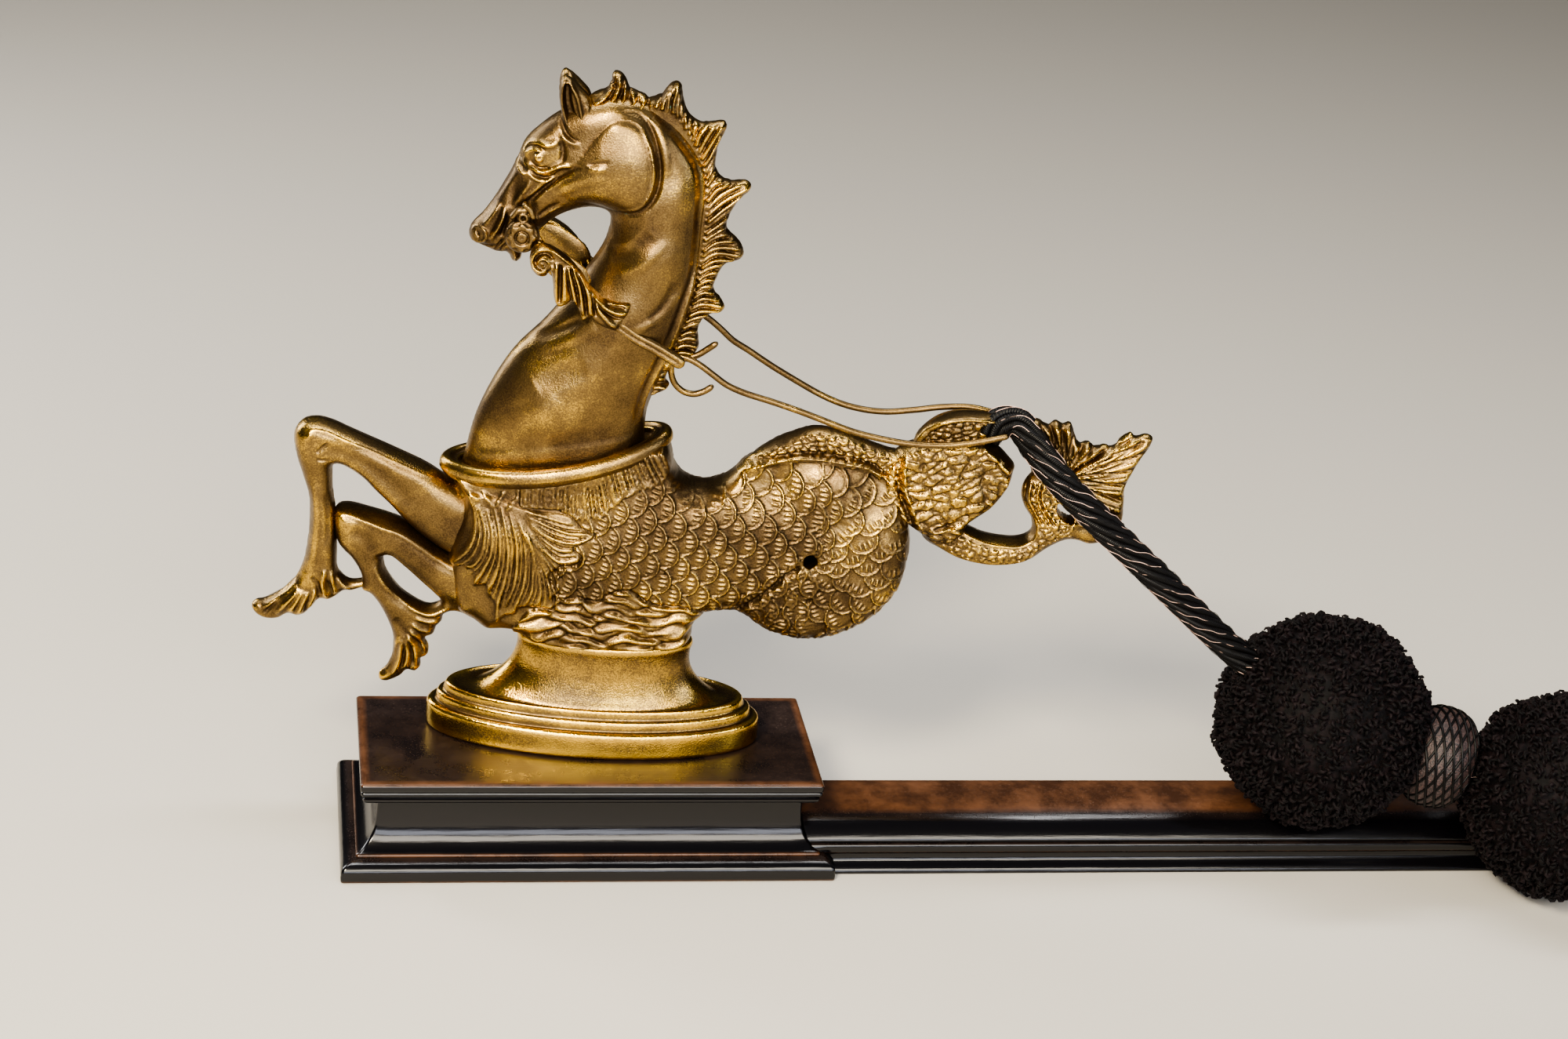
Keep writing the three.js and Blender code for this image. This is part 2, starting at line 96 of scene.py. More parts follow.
def new_material(name):
    """A new material, its node tree and its shader."""
    made = bpy.data.materials.new(name)
    made.use_nodes = True
    return made, made.node_tree, made.node_tree.nodes["Principled BSDF"]


def new_object(name, mesh):
    """An object at the origin, with its place in its mesh."""
    made = bpy.data.objects.new(name, mesh)
    bpy.context.scene.collection.objects.link(made)
    return made


# Floor: the plain pale paper that the part stands on, one sheet with no edge in the picture. It is
# unglazed, so it shows no gloss.
PAPER, FLOOR_REACH = "b1ada6", 6.0
paper, tree, shader = new_material("matt_paper")
fill(tree, shader, {"Base Color": linear(PAPER), "Roughness": 0.9})
floor_mesh = bpy.data.meshes.new("floor")
corners = [(sx * FLOOR_REACH, sy * FLOOR_REACH, 0.0) for sx, sy in ((-1, -1), (1, -1), (1, 1), (-1, 1))]
floor_mesh.from_pydata(corners, [], [(0, 1, 2, 3)])
floor_mesh.materials.append(paper)
floor = new_object("floor", floor_mesh)

# Lights: studio boxes. A small strong one high on the near left stands for the low sun and draws
# the hard bright bands in the brass. Two wide ones in front light its near side. Two strips lift
# the mane, the rim and the mouldings from above and behind, and one on the right fills.
# Columns: place, the point it faces, width and height, power in watts, colour
SOFTBOXES = {
    "key": ((-0.75, -0.95, 1.15), (-0.1, 0.0, 0.15), (0.34, 0.34), 44, "fff0d2"),
    "fill": ((1.1, -0.9, 0.7), (0.0, 0.0, 0.12), (0.4, 0.5), 6, "e8f0ff"),
    "top": ((-0.1, 0.15, 1.3), (-0.1, 0.0, 0.1), (1.3, 0.16), 13, "ffffff"),
    "front": ((-0.1, -1.3, 0.9), (-0.05, 0.0, 0.12), (1.4, 0.5), 26, "fff6e6"),
    "front_low": ((-0.1, -1.6, 0.42), (-0.05, 0.0, 0.08), (1.7, 0.36), 14, "f2f5ff"),
    "strip": ((-1.0, 0.7, 0.55), (-0.1, 0.0, 0.15), (0.2, 0.8), 8, "ffffff"),
}
for name, (place, target, size, power, colour) in SOFTBOXES.items():
    lamp = bpy.data.lights.new(f"light_{name}", "AREA")
    lamp.shape = "RECTANGLE"
    lamp.size, lamp.size_y = size
    lamp.energy = power
    lamp.color = linear(colour)[:3]
    box = bpy.data.objects.new(f"light_{name}", lamp)
    aim = Vector(target) - Vector(place)
    box.matrix_world = Matrix.Translation(place) @ aim.to_track_quat("-Z", "Y").to_matrix().to_4x4()
    bpy.context.scene.collection.objects.link(box)

# The view has a little more contrast than the plain one, as the photograph does
bpy.context.scene.view_settings.look = "AgX - Medium High Contrast"

# The room: dim grey walls with a lighter ceiling, so that the brass has something dark to show.
ROOM_LOW, ROOM_HIGH = "2c2b2c", "aeb4bf"
world = bpy.data.worlds.new("room")
bpy.context.scene.world = world
world.use_nodes = True
sky = world.node_tree
sky.nodes.clear()
coordinates = add(sky, "ShaderNodeTexCoord")
height = add(sky, "ShaderNodeSeparateXYZ", {"Vector": coordinates.outputs["Generated"]})
ramp = add(sky, "ShaderNodeValToRGB", {"Fac": height.outputs["Z"]})
for stop, place, tone in zip(ramp.color_ramp.elements, (0.05, 0.9), (ROOM_LOW, ROOM_HIGH)):
    stop.position, stop.color = place, linear(tone)
glow = add(sky, "ShaderNodeBackground", {"Color": ramp, "Strength": 0.24})
add(sky, "ShaderNodeOutputWorld", {"Surface": glow})

# Cord: a black silk cord of eight gimped strands laid round each other, about 12 mm thick. It is
# tied to the ends of the two wire reins, bends over and runs down into the first pompom, then
# through the netted collar to the middle of the second.

# Points are in the horse's own frame: millimetres, x toward the tail, y away from the viewer, and
# z above the plinth.
HORSE_FROM_PLINTH = Vector((2.5, 8.5, 40.0))
HORSE_TURN = math.radians(-6.0)
MM = 0.001
plinth_foot = PLINTH_MIDDLE * Vector((1, 1, 0))
horse_place = Matrix.Translation(plinth_foot + HORSE_FROM_PLINTH * MM)
horse_place = np.array(horse_place @ Matrix.Rotation(HORSE_TURN, 4, "Z") @ Matrix.Scale(MM, 4))
CORD_ROUTE = [
    (144.5, 0, 139.5), (149, 0, 145), (155, -0.5, 145.5), (161, -4, 139.5), (167, -8.5, 133),
    (174, -11, 126), (183, -11.5, 117.5), (193, -11.5, 108.5), (206, -10.5, 97), (221, -8.5, 83.5),
    (236, -6, 69.5), (250, -3.5, 57), (262, -1.5, 47), (278, 0, 34.5), (296, -0.6, 25), (318, -4, 19),
    (345, -12, 13), (370, -18, 8),
]
STRANDS, STRAND_LAY, STRAND_RADIUS, CORD_RADIUS = 8, 72.0, 1.8, 6.0
GLINT_RADIUS = 0.13
STRAND_SIDES, GLINT_SIDES, CORD_STEP = 8, 3, 1.3


def placed(points):
    """Points of the horse's frame, in millimetres, as points of the part's frame, in metres."""
    points = np.asarray(points, float)
    return points @ horse_place[:3, :3].T + horse_place[:3, 3]


def smooth_line(points, step):
    """A centripetal Catmull-Rom line through the points, cut into equal steps."""
    points = np.asarray(points, float)
    points = np.vstack([2 * points[0] - points[1], points, 2 * points[-1] - points[-2]])
    spans = np.linalg.norm(np.diff(points[:, :3], axis=0), axis=1)
    knots = np.concatenate([[0], np.cumsum(spans ** 0.5)])
    line = []
    for i in range(1, len(points) - 2):
        p, k = points[i - 1:i + 3], knots[i - 1:i + 3]
        t = np.linspace(k[1], k[2], 24, endpoint=i == len(points) - 3)[:, None]
        a = [(p[j] * (k[j + 1] - t) + p[j + 1] * (t - k[j])) / (k[j + 1] - k[j]) for j in range(3)]
        b = [(a[j] * (k[j + 2] - t) + a[j + 1] * (t - k[j])) / (k[j + 2] - k[j]) for j in range(2)]
        line.append((b[0] * (k[2] - t) + b[1] * (t - k[1])) / (k[2] - k[1]))
    line = np.vstack(line)
    run = np.concatenate([[0], np.cumsum(np.linalg.norm(np.diff(line[:, :3], axis=0), axis=1))])
    at = np.linspace(0, run[-1], max(2, round(run[-1] / step) + 1))
    return np.stack([np.interp(at, run, column) for column in line.T], axis=1)


def frames(line):
    """Two directions across the line at each point, carried along it without twisting."""
    along = np.gradient(line, axis=0)
    along /= np.linalg.norm(along, axis=1)[:, None]
    first = np.cross(along[0], [0.0, 1.0, 0.3])
    across = [first / np.linalg.norm(first)]
    for direction in along[1:]:
        carried = across[-1] - direction * (across[-1] @ direction)
        across.append(carried / np.linalg.norm(carried))
    across = np.array(across)
    return across, np.cross(along, across)


def tube(line, radius, sides):
    """Rings of points round a line. The radius is one number, or one for each point."""
    across, over = frames(line)
    turn = np.linspace(0, 2 * math.pi, sides, endpoint=False)
    radius = np.broadcast_to(np.asarray(radius, float), len(line))[:, None, None]
    spokes = np.cos(turn)[:, None] * across[:, None] + np.sin(turn)[:, None] * over[:, None]
    return line[:, None] + radius * spokes


def ring_faces(rings, sides, first=0, closed=False):
    """Quads between rings of points, and a cap at each end of an open row of rings."""
    faces = []
    for i in range(rings if closed else rings - 1):
        here, after = first + i * sides, first + (i + 1) % rings * sides
        steps = [(j, (j + 1) % sides) for j in range(sides)]
        faces += [(here + j, here + k, after + k, after + j) for j, k in steps]
    if not closed:
        last = first + (rings - 1) * sides
        faces += [tuple(range(first + sides - 1, first - 1, -1)), tuple(range(last, last + sides))]
    return faces


def outward(mesh):
    """Turns every face of closed shells outward."""
    work = bmesh.new()
    work.from_mesh(mesh)
    bmesh.ops.recalc_face_normals(work, faces=work.faces)
    work.to_mesh(mesh)
    work.free()


cord_line = smooth_line(CORD_ROUTE, CORD_STEP)
cord_across, cord_over = frames(cord_line)
cord_run = np.arange(len(cord_line)) * CORD_STEP
def laid(turn, reach):
    """A line round the cord's middle, from its turn and its reach at each point."""
    return cord_line + reach * (np.cos(turn)[:, None] * cord_across + np.sin(turn)[:, None] * cord_over)


# The lay, noted at each point: how far along the cord it is, where it is round its strand, and
# whether it is on a strand or on a glint, a thin tube along a strand's crest whose pale colour is a
# painted highlight
points, faces, marks = [], [], []
for strand in range(STRANDS):
    turn = 2 * math.pi * (strand / STRANDS - cord_run / STRAND_LAY)
    sway = turn + 0.06 * np.sin(cord_run * 0.7)
    crest = CORD_RADIUS + 0.05 + 0.12 * np.sin(cord_run * 1.1 + 2.0 * strand)
    for centre, radius, around, bright in (
        (laid(turn, CORD_RADIUS - STRAND_RADIUS), STRAND_RADIUS, np.arange(STRAND_SIDES) / STRAND_SIDES, 0),
        (laid(sway, crest[:, None]), GLINT_RADIUS, np.full(GLINT_SIDES, strand), 1),
    ):
        rings = tube(centre, radius, len(around))
        faces += ring_faces(len(rings), len(around), sum(len(p) for p in points))
        points.append(rings.reshape(-1, 3))
        marks.append(np.column_stack([np.repeat(cord_run, len(around)), np.tile(around, len(rings)),
                                      np.full(len(points[-1]), bright)]))
cord_mesh = bpy.data.meshes.new("cord")
cord_mesh.from_pydata(placed(np.vstack(points)), [], faces)
outward(cord_mesh)
cord_mesh.shade_smooth()
lay = cord_mesh.attributes.new("lay", "FLOAT_VECTOR", "POINT")
lay.data.foreach_set("vector", np.vstack(marks).astype(np.float32).ravel())
twisted_cord = new_object("twisted_cord", cord_mesh)

# Black silk gimp, wound: fine threads lie across each strand. It is almost black, and only the
# glint shows, a painted highlight: a thin pinkish colour on the crest tubes that breaks where it
# dips. The threads are 0.4 mm, drawn at 0.7 mm so that they show. A noise's scale is the number of
# its lumps in a millimetre, over MM.
SILK, SILK_GLINT = "050404", "cfb0a2"
THREAD = 0.7
silk, tree, shader = new_material("silk_gimp_wound")
lay = add(tree, "ShaderNodeAttribute", attribute_name="lay").outputs["Vector"]
along = add(tree, "ShaderNodeSeparateXYZ", {"Vector": lay}).outputs
skew = add(tree, "ShaderNodeMath", {0: along["Y"], 1: 3.0 * THREAD, 2: along["X"]},
           operation="MULTIPLY_ADD")
phase = add(tree, "ShaderNodeMath", {0: skew, 1: 2 * math.pi / THREAD}, operation="MULTIPLY")
thread = add(tree, "ShaderNodeMath", {0: phase}, operation="SINE")
spots = add(tree, "ShaderNodeTexCoord").outputs["Object"]
uneven = add(tree, "ShaderNodeTexNoise", {"Vector": spots, "Scale": 0.9 / MM, "Detail": 2.0})
lift = add(tree, "ShaderNodeMath", {0: uneven, 1: 1.6, 2: thread}, operation="MULTIPLY_ADD")
bump = add(tree, "ShaderNodeBump", {"Height": lift, "Strength": 0.4, "Distance": 0.2 * MM})
breaks = add(tree, "ShaderNodeTexNoise", {"Vector": lay, "Scale": 0.1, "Detail": 5.0})
breaks = add(tree, "ShaderNodeMapRange", {"Value": breaks, "From Min": 0.46, "From Max": 0.5})
# Painted highlight: the crest tubes take the pale glint colour, broken by noise along the lay
glint = add(tree, "ShaderNodeMath", {0: along["Z"], 1: breaks}, operation="MULTIPLY")
colour = add(tree, "ShaderNodeMix", {0: glint, 6: linear(SILK), 7: linear(SILK_GLINT)}, data_type="RGBA")
tone = add(tree, "ShaderNodeMapRange", {
    "Value": lift, "From Min": -0.6, "From Max": 1.9, "To Min": 0.3, "To Max": 0.55})
fill(tree, shader, {"Base Color": colour.outputs[2], "Roughness": tone, "Specular IOR Level": 0.2,
                    "Anisotropic": 0.6, "Normal": bump})
cord_mesh.materials.append(silk)
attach(twisted_cord, "root")
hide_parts("cord")

# Pompoms: two balls of short curled black wool yarn, one that the cord runs through and one at its
# end. Each is tufts sewn close together on a firm core, so its outline is lobed and not round.
# Columns: centre from the plinth's middle and radius, in millimetres, and a seed
POMPOMS = {
    "pompom_1": ((296.5, -23.0, 63.0), 46.0, 3),
    "pompom_2": ((393.5, -52.0, 44.3), 44.0, 8),
}
TUFT_RADIUS, TUFT_SPACING, TUFT_LEAN, TUFTS_A_METRE = 0.62, 1.55, 0.45, 400000.0
CORE_SHARE = 0.89
# Columns: a tuft's curl from its foot on the core, and its thickness there as a share
TUFT = np.array([(0, 0, -0.8, 0.8), (0.4, 0.2, 1.3, 1.1), (1.3, 0.1, 2.4, 1.15), (2.2, 0.7, 2.3, 0.9),
                 (2.4, 1.4, 1.4, 0.4)])

tuft_rings = tube(TUFT[:, :3] * MM, TUFT[:, 3] * TUFT_RADIUS * MM, 4)
tuft_mesh = bpy.data.meshes.new("tuft")
tuft_mesh.from_pydata(tuft_rings.reshape(-1, 3), [], ring_faces(len(tuft_rings), 4))
outward(tuft_mesh)
tuft_mesh.shade_smooth()
tuft = new_object("tuft", tuft_mesh)

# Black wool yarn, curled and cut: matt, and black down to its foot, with a faint brown light
# painted on it in random patches, a painted sheen. Its fibres are 0.03 mm, drawn at 0.4 mm so that
# they show.
WOOL, WOOL_PAINTED_SHEEN, WOOL_SHEEN = "040304", "1b1315", "9b7f84"
wool, tree, shader = new_material("wool_yarn_curled")
spots = add(tree, "ShaderNodeTexCoord").outputs["Object"]
patch = add(tree, "ShaderNodeTexNoise", {"Vector": spots, "Scale": 0.26 / MM, "Detail": 3.0})
# Painted sheen: noise patches turn the black wool toward a faint brown that stands for light on the curls
tint = add(tree, "ShaderNodeValToRGB", {"Fac": patch})
for stop, place, tone in zip(tint.color_ramp.elements, (0.45, 0.75), (WOOL, WOOL_PAINTED_SHEEN)):
    stop.position, stop.color = place, linear(tone)
fibre = add(tree, "ShaderNodeTexNoise", {"Vector": spots, "Scale": 2.6 / MM, "Detail": 2.0})
bump = add(tree, "ShaderNodeBump", {"Height": fibre, "Strength": 0.6, "Distance": 0.4 * MM})
fill(tree, shader, {"Base Color": tint, "Roughness": 0.62, "Specular IOR Level": 0.12, "Sheen Weight": 0.05,
                    "Sheen Roughness": 0.4, "Sheen Tint": linear(WOOL_SHEEN), "Normal": bump})


def group_input(tree, name, kind, value=None):
    """Adds a named input to a Geometry Nodes tree and returns its identifier."""
    socket = tree.interface.new_socket(name, in_out="INPUT", socket_type=kind)
    if value is not None:
        socket.default_value = value
    return socket.identifier


def apply_nodes(target, tree, values):
    """Runs a tree on an object, with its inputs set by identifier, and keeps the plain mesh."""
    modifier = target.modifiers.new(tree.name, "NODES")
    modifier.node_group = tree
    for identifier, value in values.items():
        modifier[identifier] = value
    seen = target.evaluated_get(bpy.context.evaluated_depsgraph_get())
    result = bpy.data.meshes.new_from_object(seen)
    target.modifiers.remove(modifier)
    target.data = result
    return result


tufting = bpy.data.node_groups.new("tufting", "GeometryNodeTree")
group_input(tufting, "Core", "NodeSocketGeometry")
tuft_in = group_input(tufting, "Tuft", "NodeSocketObject")
spacing_in = group_input(tufting, "Spacing", "NodeSocketFloat", TUFT_SPACING * MM)
seed_in = group_input(tufting, "Seed", "NodeSocketInt", 0)
wool_in = group_input(tufting, "Wool", "NodeSocketMaterial")
tufting.interface.new_socket("Pompom", in_out="OUTPUT", socket_type="NodeSocketGeometry")
given = add(tufting, "NodeGroupInput").outputs
dots = add(tufting, "GeometryNodeDistributePointsOnFaces", {
    "Mesh": given["Core"], "Distance Min": given["Spacing"], "Density Max": TUFTS_A_METRE,
    "Seed": given["Seed"]}, distribute_method="POISSON")
spin = add(tufting, "FunctionNodeRandomValue", {2: 0.0, 3: 2 * math.pi, "Seed": given["Seed"]},
           data_type="FLOAT")
spun = add(tufting, "ShaderNodeCombineXYZ", {"Z": spin.outputs[1]})
lean = add(tufting, "FunctionNodeRandomValue", {
    0: (-TUFT_LEAN, -TUFT_LEAN, 0.0), 1: (TUFT_LEAN, TUFT_LEAN, 0.0), "Seed": given["Seed"]},
    data_type="FLOAT_VECTOR")
leaning = add(tufting, "FunctionNodeRotateRotation", {
    "Rotation": dots.outputs["Rotation"], "Rotate By": spun}, rotation_space="LOCAL")
leant = add(tufting, "FunctionNodeRotateRotation", {"Rotation": leaning, "Rotate By": lean},
            rotation_space="LOCAL")
size = add(tufting, "FunctionNodeRandomValue", {2: 0.75, 3: 1.25, "Seed": given["Seed"]}, data_type="FLOAT")
lock = add(tufting, "GeometryNodeObjectInfo", {"Object": given["Tuft"]})
sewn = add(tufting, "GeometryNodeInstanceOnPoints", {
    "Points": dots, "Instance": lock.outputs["Geometry"], "Rotation": leant, "Scale": size.outputs[1]})
real = add(tufting, "GeometryNodeRealizeInstances", {0: sewn})
both = add(tufting, "GeometryNodeJoinGeometry")
for form in (given["Core"], real):
    fill(tufting, both, {0: form})
dressed = add(tufting, "GeometryNodeSetMaterial", {"Geometry": both, "Material": given["Wool"]})
add(tufting, "NodeGroupOutput", {0: dressed})

for name, (centre, radius, seed) in POMPOMS.items():
    bulk = bmesh.new()
    bmesh.ops.create_icosphere(bulk, subdivisions=4, radius=1.0)
    for vertex in bulk.verts:
        lump = 0.045 * noise.noise(vertex.co * 2.3 + Vector((seed, 0, 0)))
        lump += 0.03 * noise.noise(vertex.co * 6.0)
        vertex.co *= radius * MM * (CORE_SHARE + lump)
        vertex.co += plinth_foot + Vector(centre) * MM
    core_mesh = bpy.data.meshes.new(name)
    bulk.to_mesh(core_mesh)
    bulk.free()
    core_mesh.shade_smooth()
    pompom = new_object(f"{name}_tufted", core_mesh)
    apply_nodes(pompom, tufting, {
        tuft_in: tuft, spacing_in: TUFT_SPACING * MM, seed_in: seed, wool_in: wool})
    pompom.data.shade_smooth()
    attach(pompom, "root")
    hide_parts(name)
bpy.data.objects.remove(tuft)

# Netted collar: the bulb on the cord between the two pompoms, a wad of brown-black floss held in a
# diamond net of black thread.
BULB_RADIUS, BULB_LENGTH, BULB_PLACE = 20.5, 26.0, 0.475
BULB_RINGS, BULB_SIDES = 25, 72
NET_THREADS, NET_TURN, NET_RADIUS, NET_SIDES, NET_STEPS = 11, 0.32, 0.55, 6, 33
bulb_ends = [plinth_foot + Vector(centre) * MM for centre, _, _ in POMPOMS.values()]
bulb_axis = (bulb_ends[1] - bulb_ends[0]).normalized()
bulb_middle = bulb_ends[0].lerp(bulb_ends[1], BULB_PLACE)
bulb_place = Matrix.Translation(bulb_middle) @ bulb_axis.to_track_quat("Z", "Y").to_matrix().to_4x4()


def bulb_reach(height):
    """The bulb's radius at a height along its axis, from -1 to 1."""
    return BULB_RADIUS * np.sqrt(np.maximum(0.0, 1 - 0.62 * np.abs(height) ** 2.4))


heights = np.linspace(-1, 1, BULB_RINGS)
turns = np.linspace(0, 2 * math.pi, BULB_SIDES, endpoint=False)
reach = bulb_reach(heights)[:, None]
lengthways = np.repeat(heights[:, None] * BULB_LENGTH / 2, BULB_SIDES, 1)
grid = np.stack([reach * np.cos(turns), reach * np.sin(turns), lengthways], axis=2)
bulb_mesh = bpy.data.meshes.new("bulb")
bulb_mesh.from_pydata(grid.reshape(-1, 3) * MM, [], ring_faces(BULB_RINGS, BULB_SIDES))
outward(bulb_mesh)
bulb_mesh.transform(bulb_place)
bulb_mesh.shade_smooth()
bulb = new_object("netted_bulb", bulb_mesh)

# Silk floss, packed: short brown-black fibres between the threads of the net, with their faint
# glitter painted as paler brown specks, a painted highlight.
# They are 0.05 mm, drawn at 0.7 mm so that they show.
FLOSS, FLOSS_GLITTER, FLOSS_SHEEN = "120d0e", "463230", "b08f84"
floss, tree, shader = new_material("silk_floss_packed")
spots = add(tree, "ShaderNodeTexCoord").outputs["Object"]
glitter = add(tree, "ShaderNodeTexNoise", {"Vector": spots, "Scale": 1.5 / MM, "Detail": 3.0})
# Painted glitter: noise specks turn the floss toward a paler brown that stands for its highlights
tint = add(tree, "ShaderNodeValToRGB", {"Fac": glitter})
for stop, place, tone in zip(tint.color_ramp.elements, (0.4, 0.72), (FLOSS, FLOSS_GLITTER)):
    stop.position, stop.color = place, linear(tone)
bump = add(tree, "ShaderNodeBump", {"Height": glitter, "Strength": 0.8, "Distance": 0.6 * MM})
fill(tree, shader, {"Base Color": tint, "Roughness": 0.5, "Sheen Weight": 0.12,
                    "Sheen Tint": linear(FLOSS_SHEEN), "Normal": bump})
bulb_mesh.materials.append(floss)

netting = bpy.data.node_groups.new("netting", "GeometryNodeTree")
group_input(netting, "Thread", "NodeSocketGeometry")
count_in = group_input(netting, "Threads", "NodeSocketInt", NET_THREADS)
silk_in = group_input(netting, "Silk", "NodeSocketMaterial")
netting.interface.new_socket("Net", in_out="OUTPUT", socket_type="NodeSocketGeometry")
given = add(netting, "NodeGroupInput").outputs
posts = add(netting, "GeometryNodePoints", {"Count": given["Threads"]})
number = add(netting, "GeometryNodeInputIndex")
share = add(netting, "ShaderNodeMath", {0: number, 1: given["Threads"]}, operation="DIVIDE")
angle = add(netting, "ShaderNodeMath", {0: share, 1: 2 * math.pi}, operation="MULTIPLY")
turned_by = add(netting, "ShaderNodeCombineXYZ", {"Z": angle})
strung = add(netting, "GeometryNodeInstanceOnPoints", {
    "Points": posts, "Instance": given["Thread"], "Rotation": turned_by})
real = add(netting, "GeometryNodeRealizeInstances", {0: strung})
dressed = add(netting, "GeometryNodeSetMaterial", {"Geometry": real, "Material": given["Silk"]})
add(netting, "NodeGroupOutput", {0: dressed})

# Two threads, one for each hand of the net, which the tree repeats round the bulb
points, faces = [], []
for hand in (-1, 1):
    rise = np.linspace(-1, 1, NET_STEPS)
    swing = hand * 2 * math.pi * NET_TURN * rise
    reach = bulb_reach(rise) + 0.25 + 0.15 * hand
    line = np.stack([reach * np.cos(swing), reach * np.sin(swing), rise * BULB_LENGTH / 2], axis=1)
    rings = tube(line * MM, NET_RADIUS * MM, NET_SIDES)
    faces += ring_faces(NET_STEPS, NET_SIDES, len(points) * NET_STEPS * NET_SIDES)
    points.append(rings.reshape(-1, 3))
net_mesh = bpy.data.meshes.new("net")
net_mesh.from_pydata(np.vstack(points), [], faces)
outward(net_mesh)
net = new_object("netting", net_mesh)
apply_nodes(net, netting, {count_in: NET_THREADS, silk_in: silk})
net.data.transform(bulb_place)
net.data.shade_smooth()
for piece in (bulb, net):
    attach(piece, "root")
    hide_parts("netted_collar")

# Neck and head: the part of the horse that is seen most, cast hollow in brass in one with the
# body, filed smooth and polished. Its two sides are alike, each a relief on a flat core.

# A form is drawn in the horse's plane, x and z in millimetres, and its height is half the
# casting's thickness there. The skin over it is made of cells of this size.
CELL = 0.6
# A form falls away at this slope outside its outline, which keeps its edge sharp. A skin is
# smoothed in rounds, by these shares toward and away from the mean of each point's neighbours, and
# isn't laid back on the drawn height where that is steeper than this.
OUTSIDE_SLOPE = 2.5
SMOOTHING = (0.5, -0.53, 0.5, -0.53, 0.4)
STEEPEST, STEEP_FADE = 1.7, 0.7


def plane(low, high, cell=CELL):
    """The x and z of each cell corner between two corners of the horse's plane."""
    return np.meshgrid(np.arange(low[0], high[0], cell), np.arange(low[1], high[1], cell), indexing="ij")


def distance(x, z, line):
    """How far each point is from a line, and how far along the line its nearest point is."""
    nearest, place = np.full(x.shape, 1e9), np.zeros(x.shape)
    line = np.asarray(line, float)
    for i, ((ax, az), (bx, bz)) in enumerate(zip(line[:-1], line[1:])):
        length = (bx - ax) ** 2 + (bz - az) ** 2 + 1e-12
        share = np.clip(((x - ax) * (bx - ax) + (z - az) * (bz - az)) / length, 0, 1)
        apart = (x - ax - share * (bx - ax)) ** 2 + (z - az - share * (bz - az)) ** 2
        closer = apart < nearest
        nearest = np.where(closer, apart, nearest)
        place = np.where(closer, i + share, place)
    return np.sqrt(nearest), place / (len(line) - 1)


def inside(x, z, outline, step=2.0):
    """Distance inside a closed outline, and below zero outside it. The outline is smoothed."""
    loop = smooth_line([*outline, outline[0]], step)
    apart, _ = distance(x, z, loop)
    crossings = np.zeros(x.shape, int)
    for (ax, az), (bx, bz) in zip(loop[:-1], loop[1:]):
        if az != bz:
            crossings += ((az > z) != (bz > z)) & (x < (bx - ax) * (z - az) / (bz - az) + ax)
    return np.where(crossings % 2 == 1, apart, -apart)


def spread(x, z, spots, softness=6.0):
    """A value that runs smoothly between spots. Columns: x, z, value"""
    weights = [1 / ((x - sx) ** 2 + (z - sz) ** 2 + softness ** 2) ** 2 for sx, sz, _ in spots]
    return sum(weight * value for weight, (_, _, value) in zip(weights, spots)) / sum(weights)


def dome(depth, reach, thickness):
    """A rounded form over an outline: it rises in a quarter oval to its thickness at the reach."""
    share = np.clip(depth / reach, 0, 1)
    return np.where(depth > 0, thickness * np.sqrt(1 - (1 - share) ** 2), OUTSIDE_SLOPE * depth)


def fused(a, b, blend=1.5):
    """The higher of two forms, with a soft join as wide as the blend."""
    share = np.clip(0.5 + 0.5 * (a - b) / blend, 0, 1)
    return b + (a - b) * share + blend * share * (1 - share)


def stroke(form, x, z, line, width, height, taper=0.25, step=1.2):
    """A chaser's stroke along a line: a rounded ridge, or a groove where its height is below zero.
    The width is from its middle to its edge, one number or one for each end, and its ends run out."""
    line = smooth_line(line, step) if len(line) > 2 else np.asarray(line, float)
    widths = (width, width) if np.isscalar(width) else width
    reach = max(widths)
    columns = np.nonzero((x[:, 0] > line[:, 0].min() - reach) & (x[:, 0] < line[:, 0].max() + reach))[0]
    rows = np.nonzero((z[0] > line[:, 1].min() - reach) & (z[0] < line[:, 1].max() + reach))[0]
    if len(columns) and len(rows):
        patch = np.s_[columns[0]:columns[-1] + 1, rows[0]:rows[-1] + 1]
        apart, place = distance(x[patch], z[patch], line)
        share = np.clip(apart / (widths[0] + (widths[1] - widths[0]) * place), 0, 1)
        ends = np.clip(np.minimum(place, 1 - place) / taper, 0, 1) if taper else 1.0
        form[patch] += height * (1 - share ** 2) ** 2 * np.sqrt(ends)


def chase(form, x, z, strokes, taper):
    """Chases a list of strokes into a form."""
    for line, width, height in strokes:
        stroke(form, x, z, line, width, height, taper)


def at_least(form, depth, least):
    """The form, no lower than this anywhere inside its outline."""
    return np.where(depth > 0, np.maximum(form, least), form)


def neighbour_mean(points, pairs):
    """The mean of each point's neighbours."""
    count = np.bincount(pairs.ravel(), minlength=len(points))[:, None]
    (a, b), total = pairs.T, len(points)
    sums = [np.bincount(a, points[b, k], total) + np.bincount(b, points[a, k], total)
            for k in range(points.shape[1])]
    return np.stack(sums, axis=1) / count


def edge_pairs(faces):
    """The two ends of each edge, once."""
    return np.unique(np.sort(np.vstack([faces[:, [i, (i + 1) % 4]] for i in range(4)]), axis=1), axis=0)


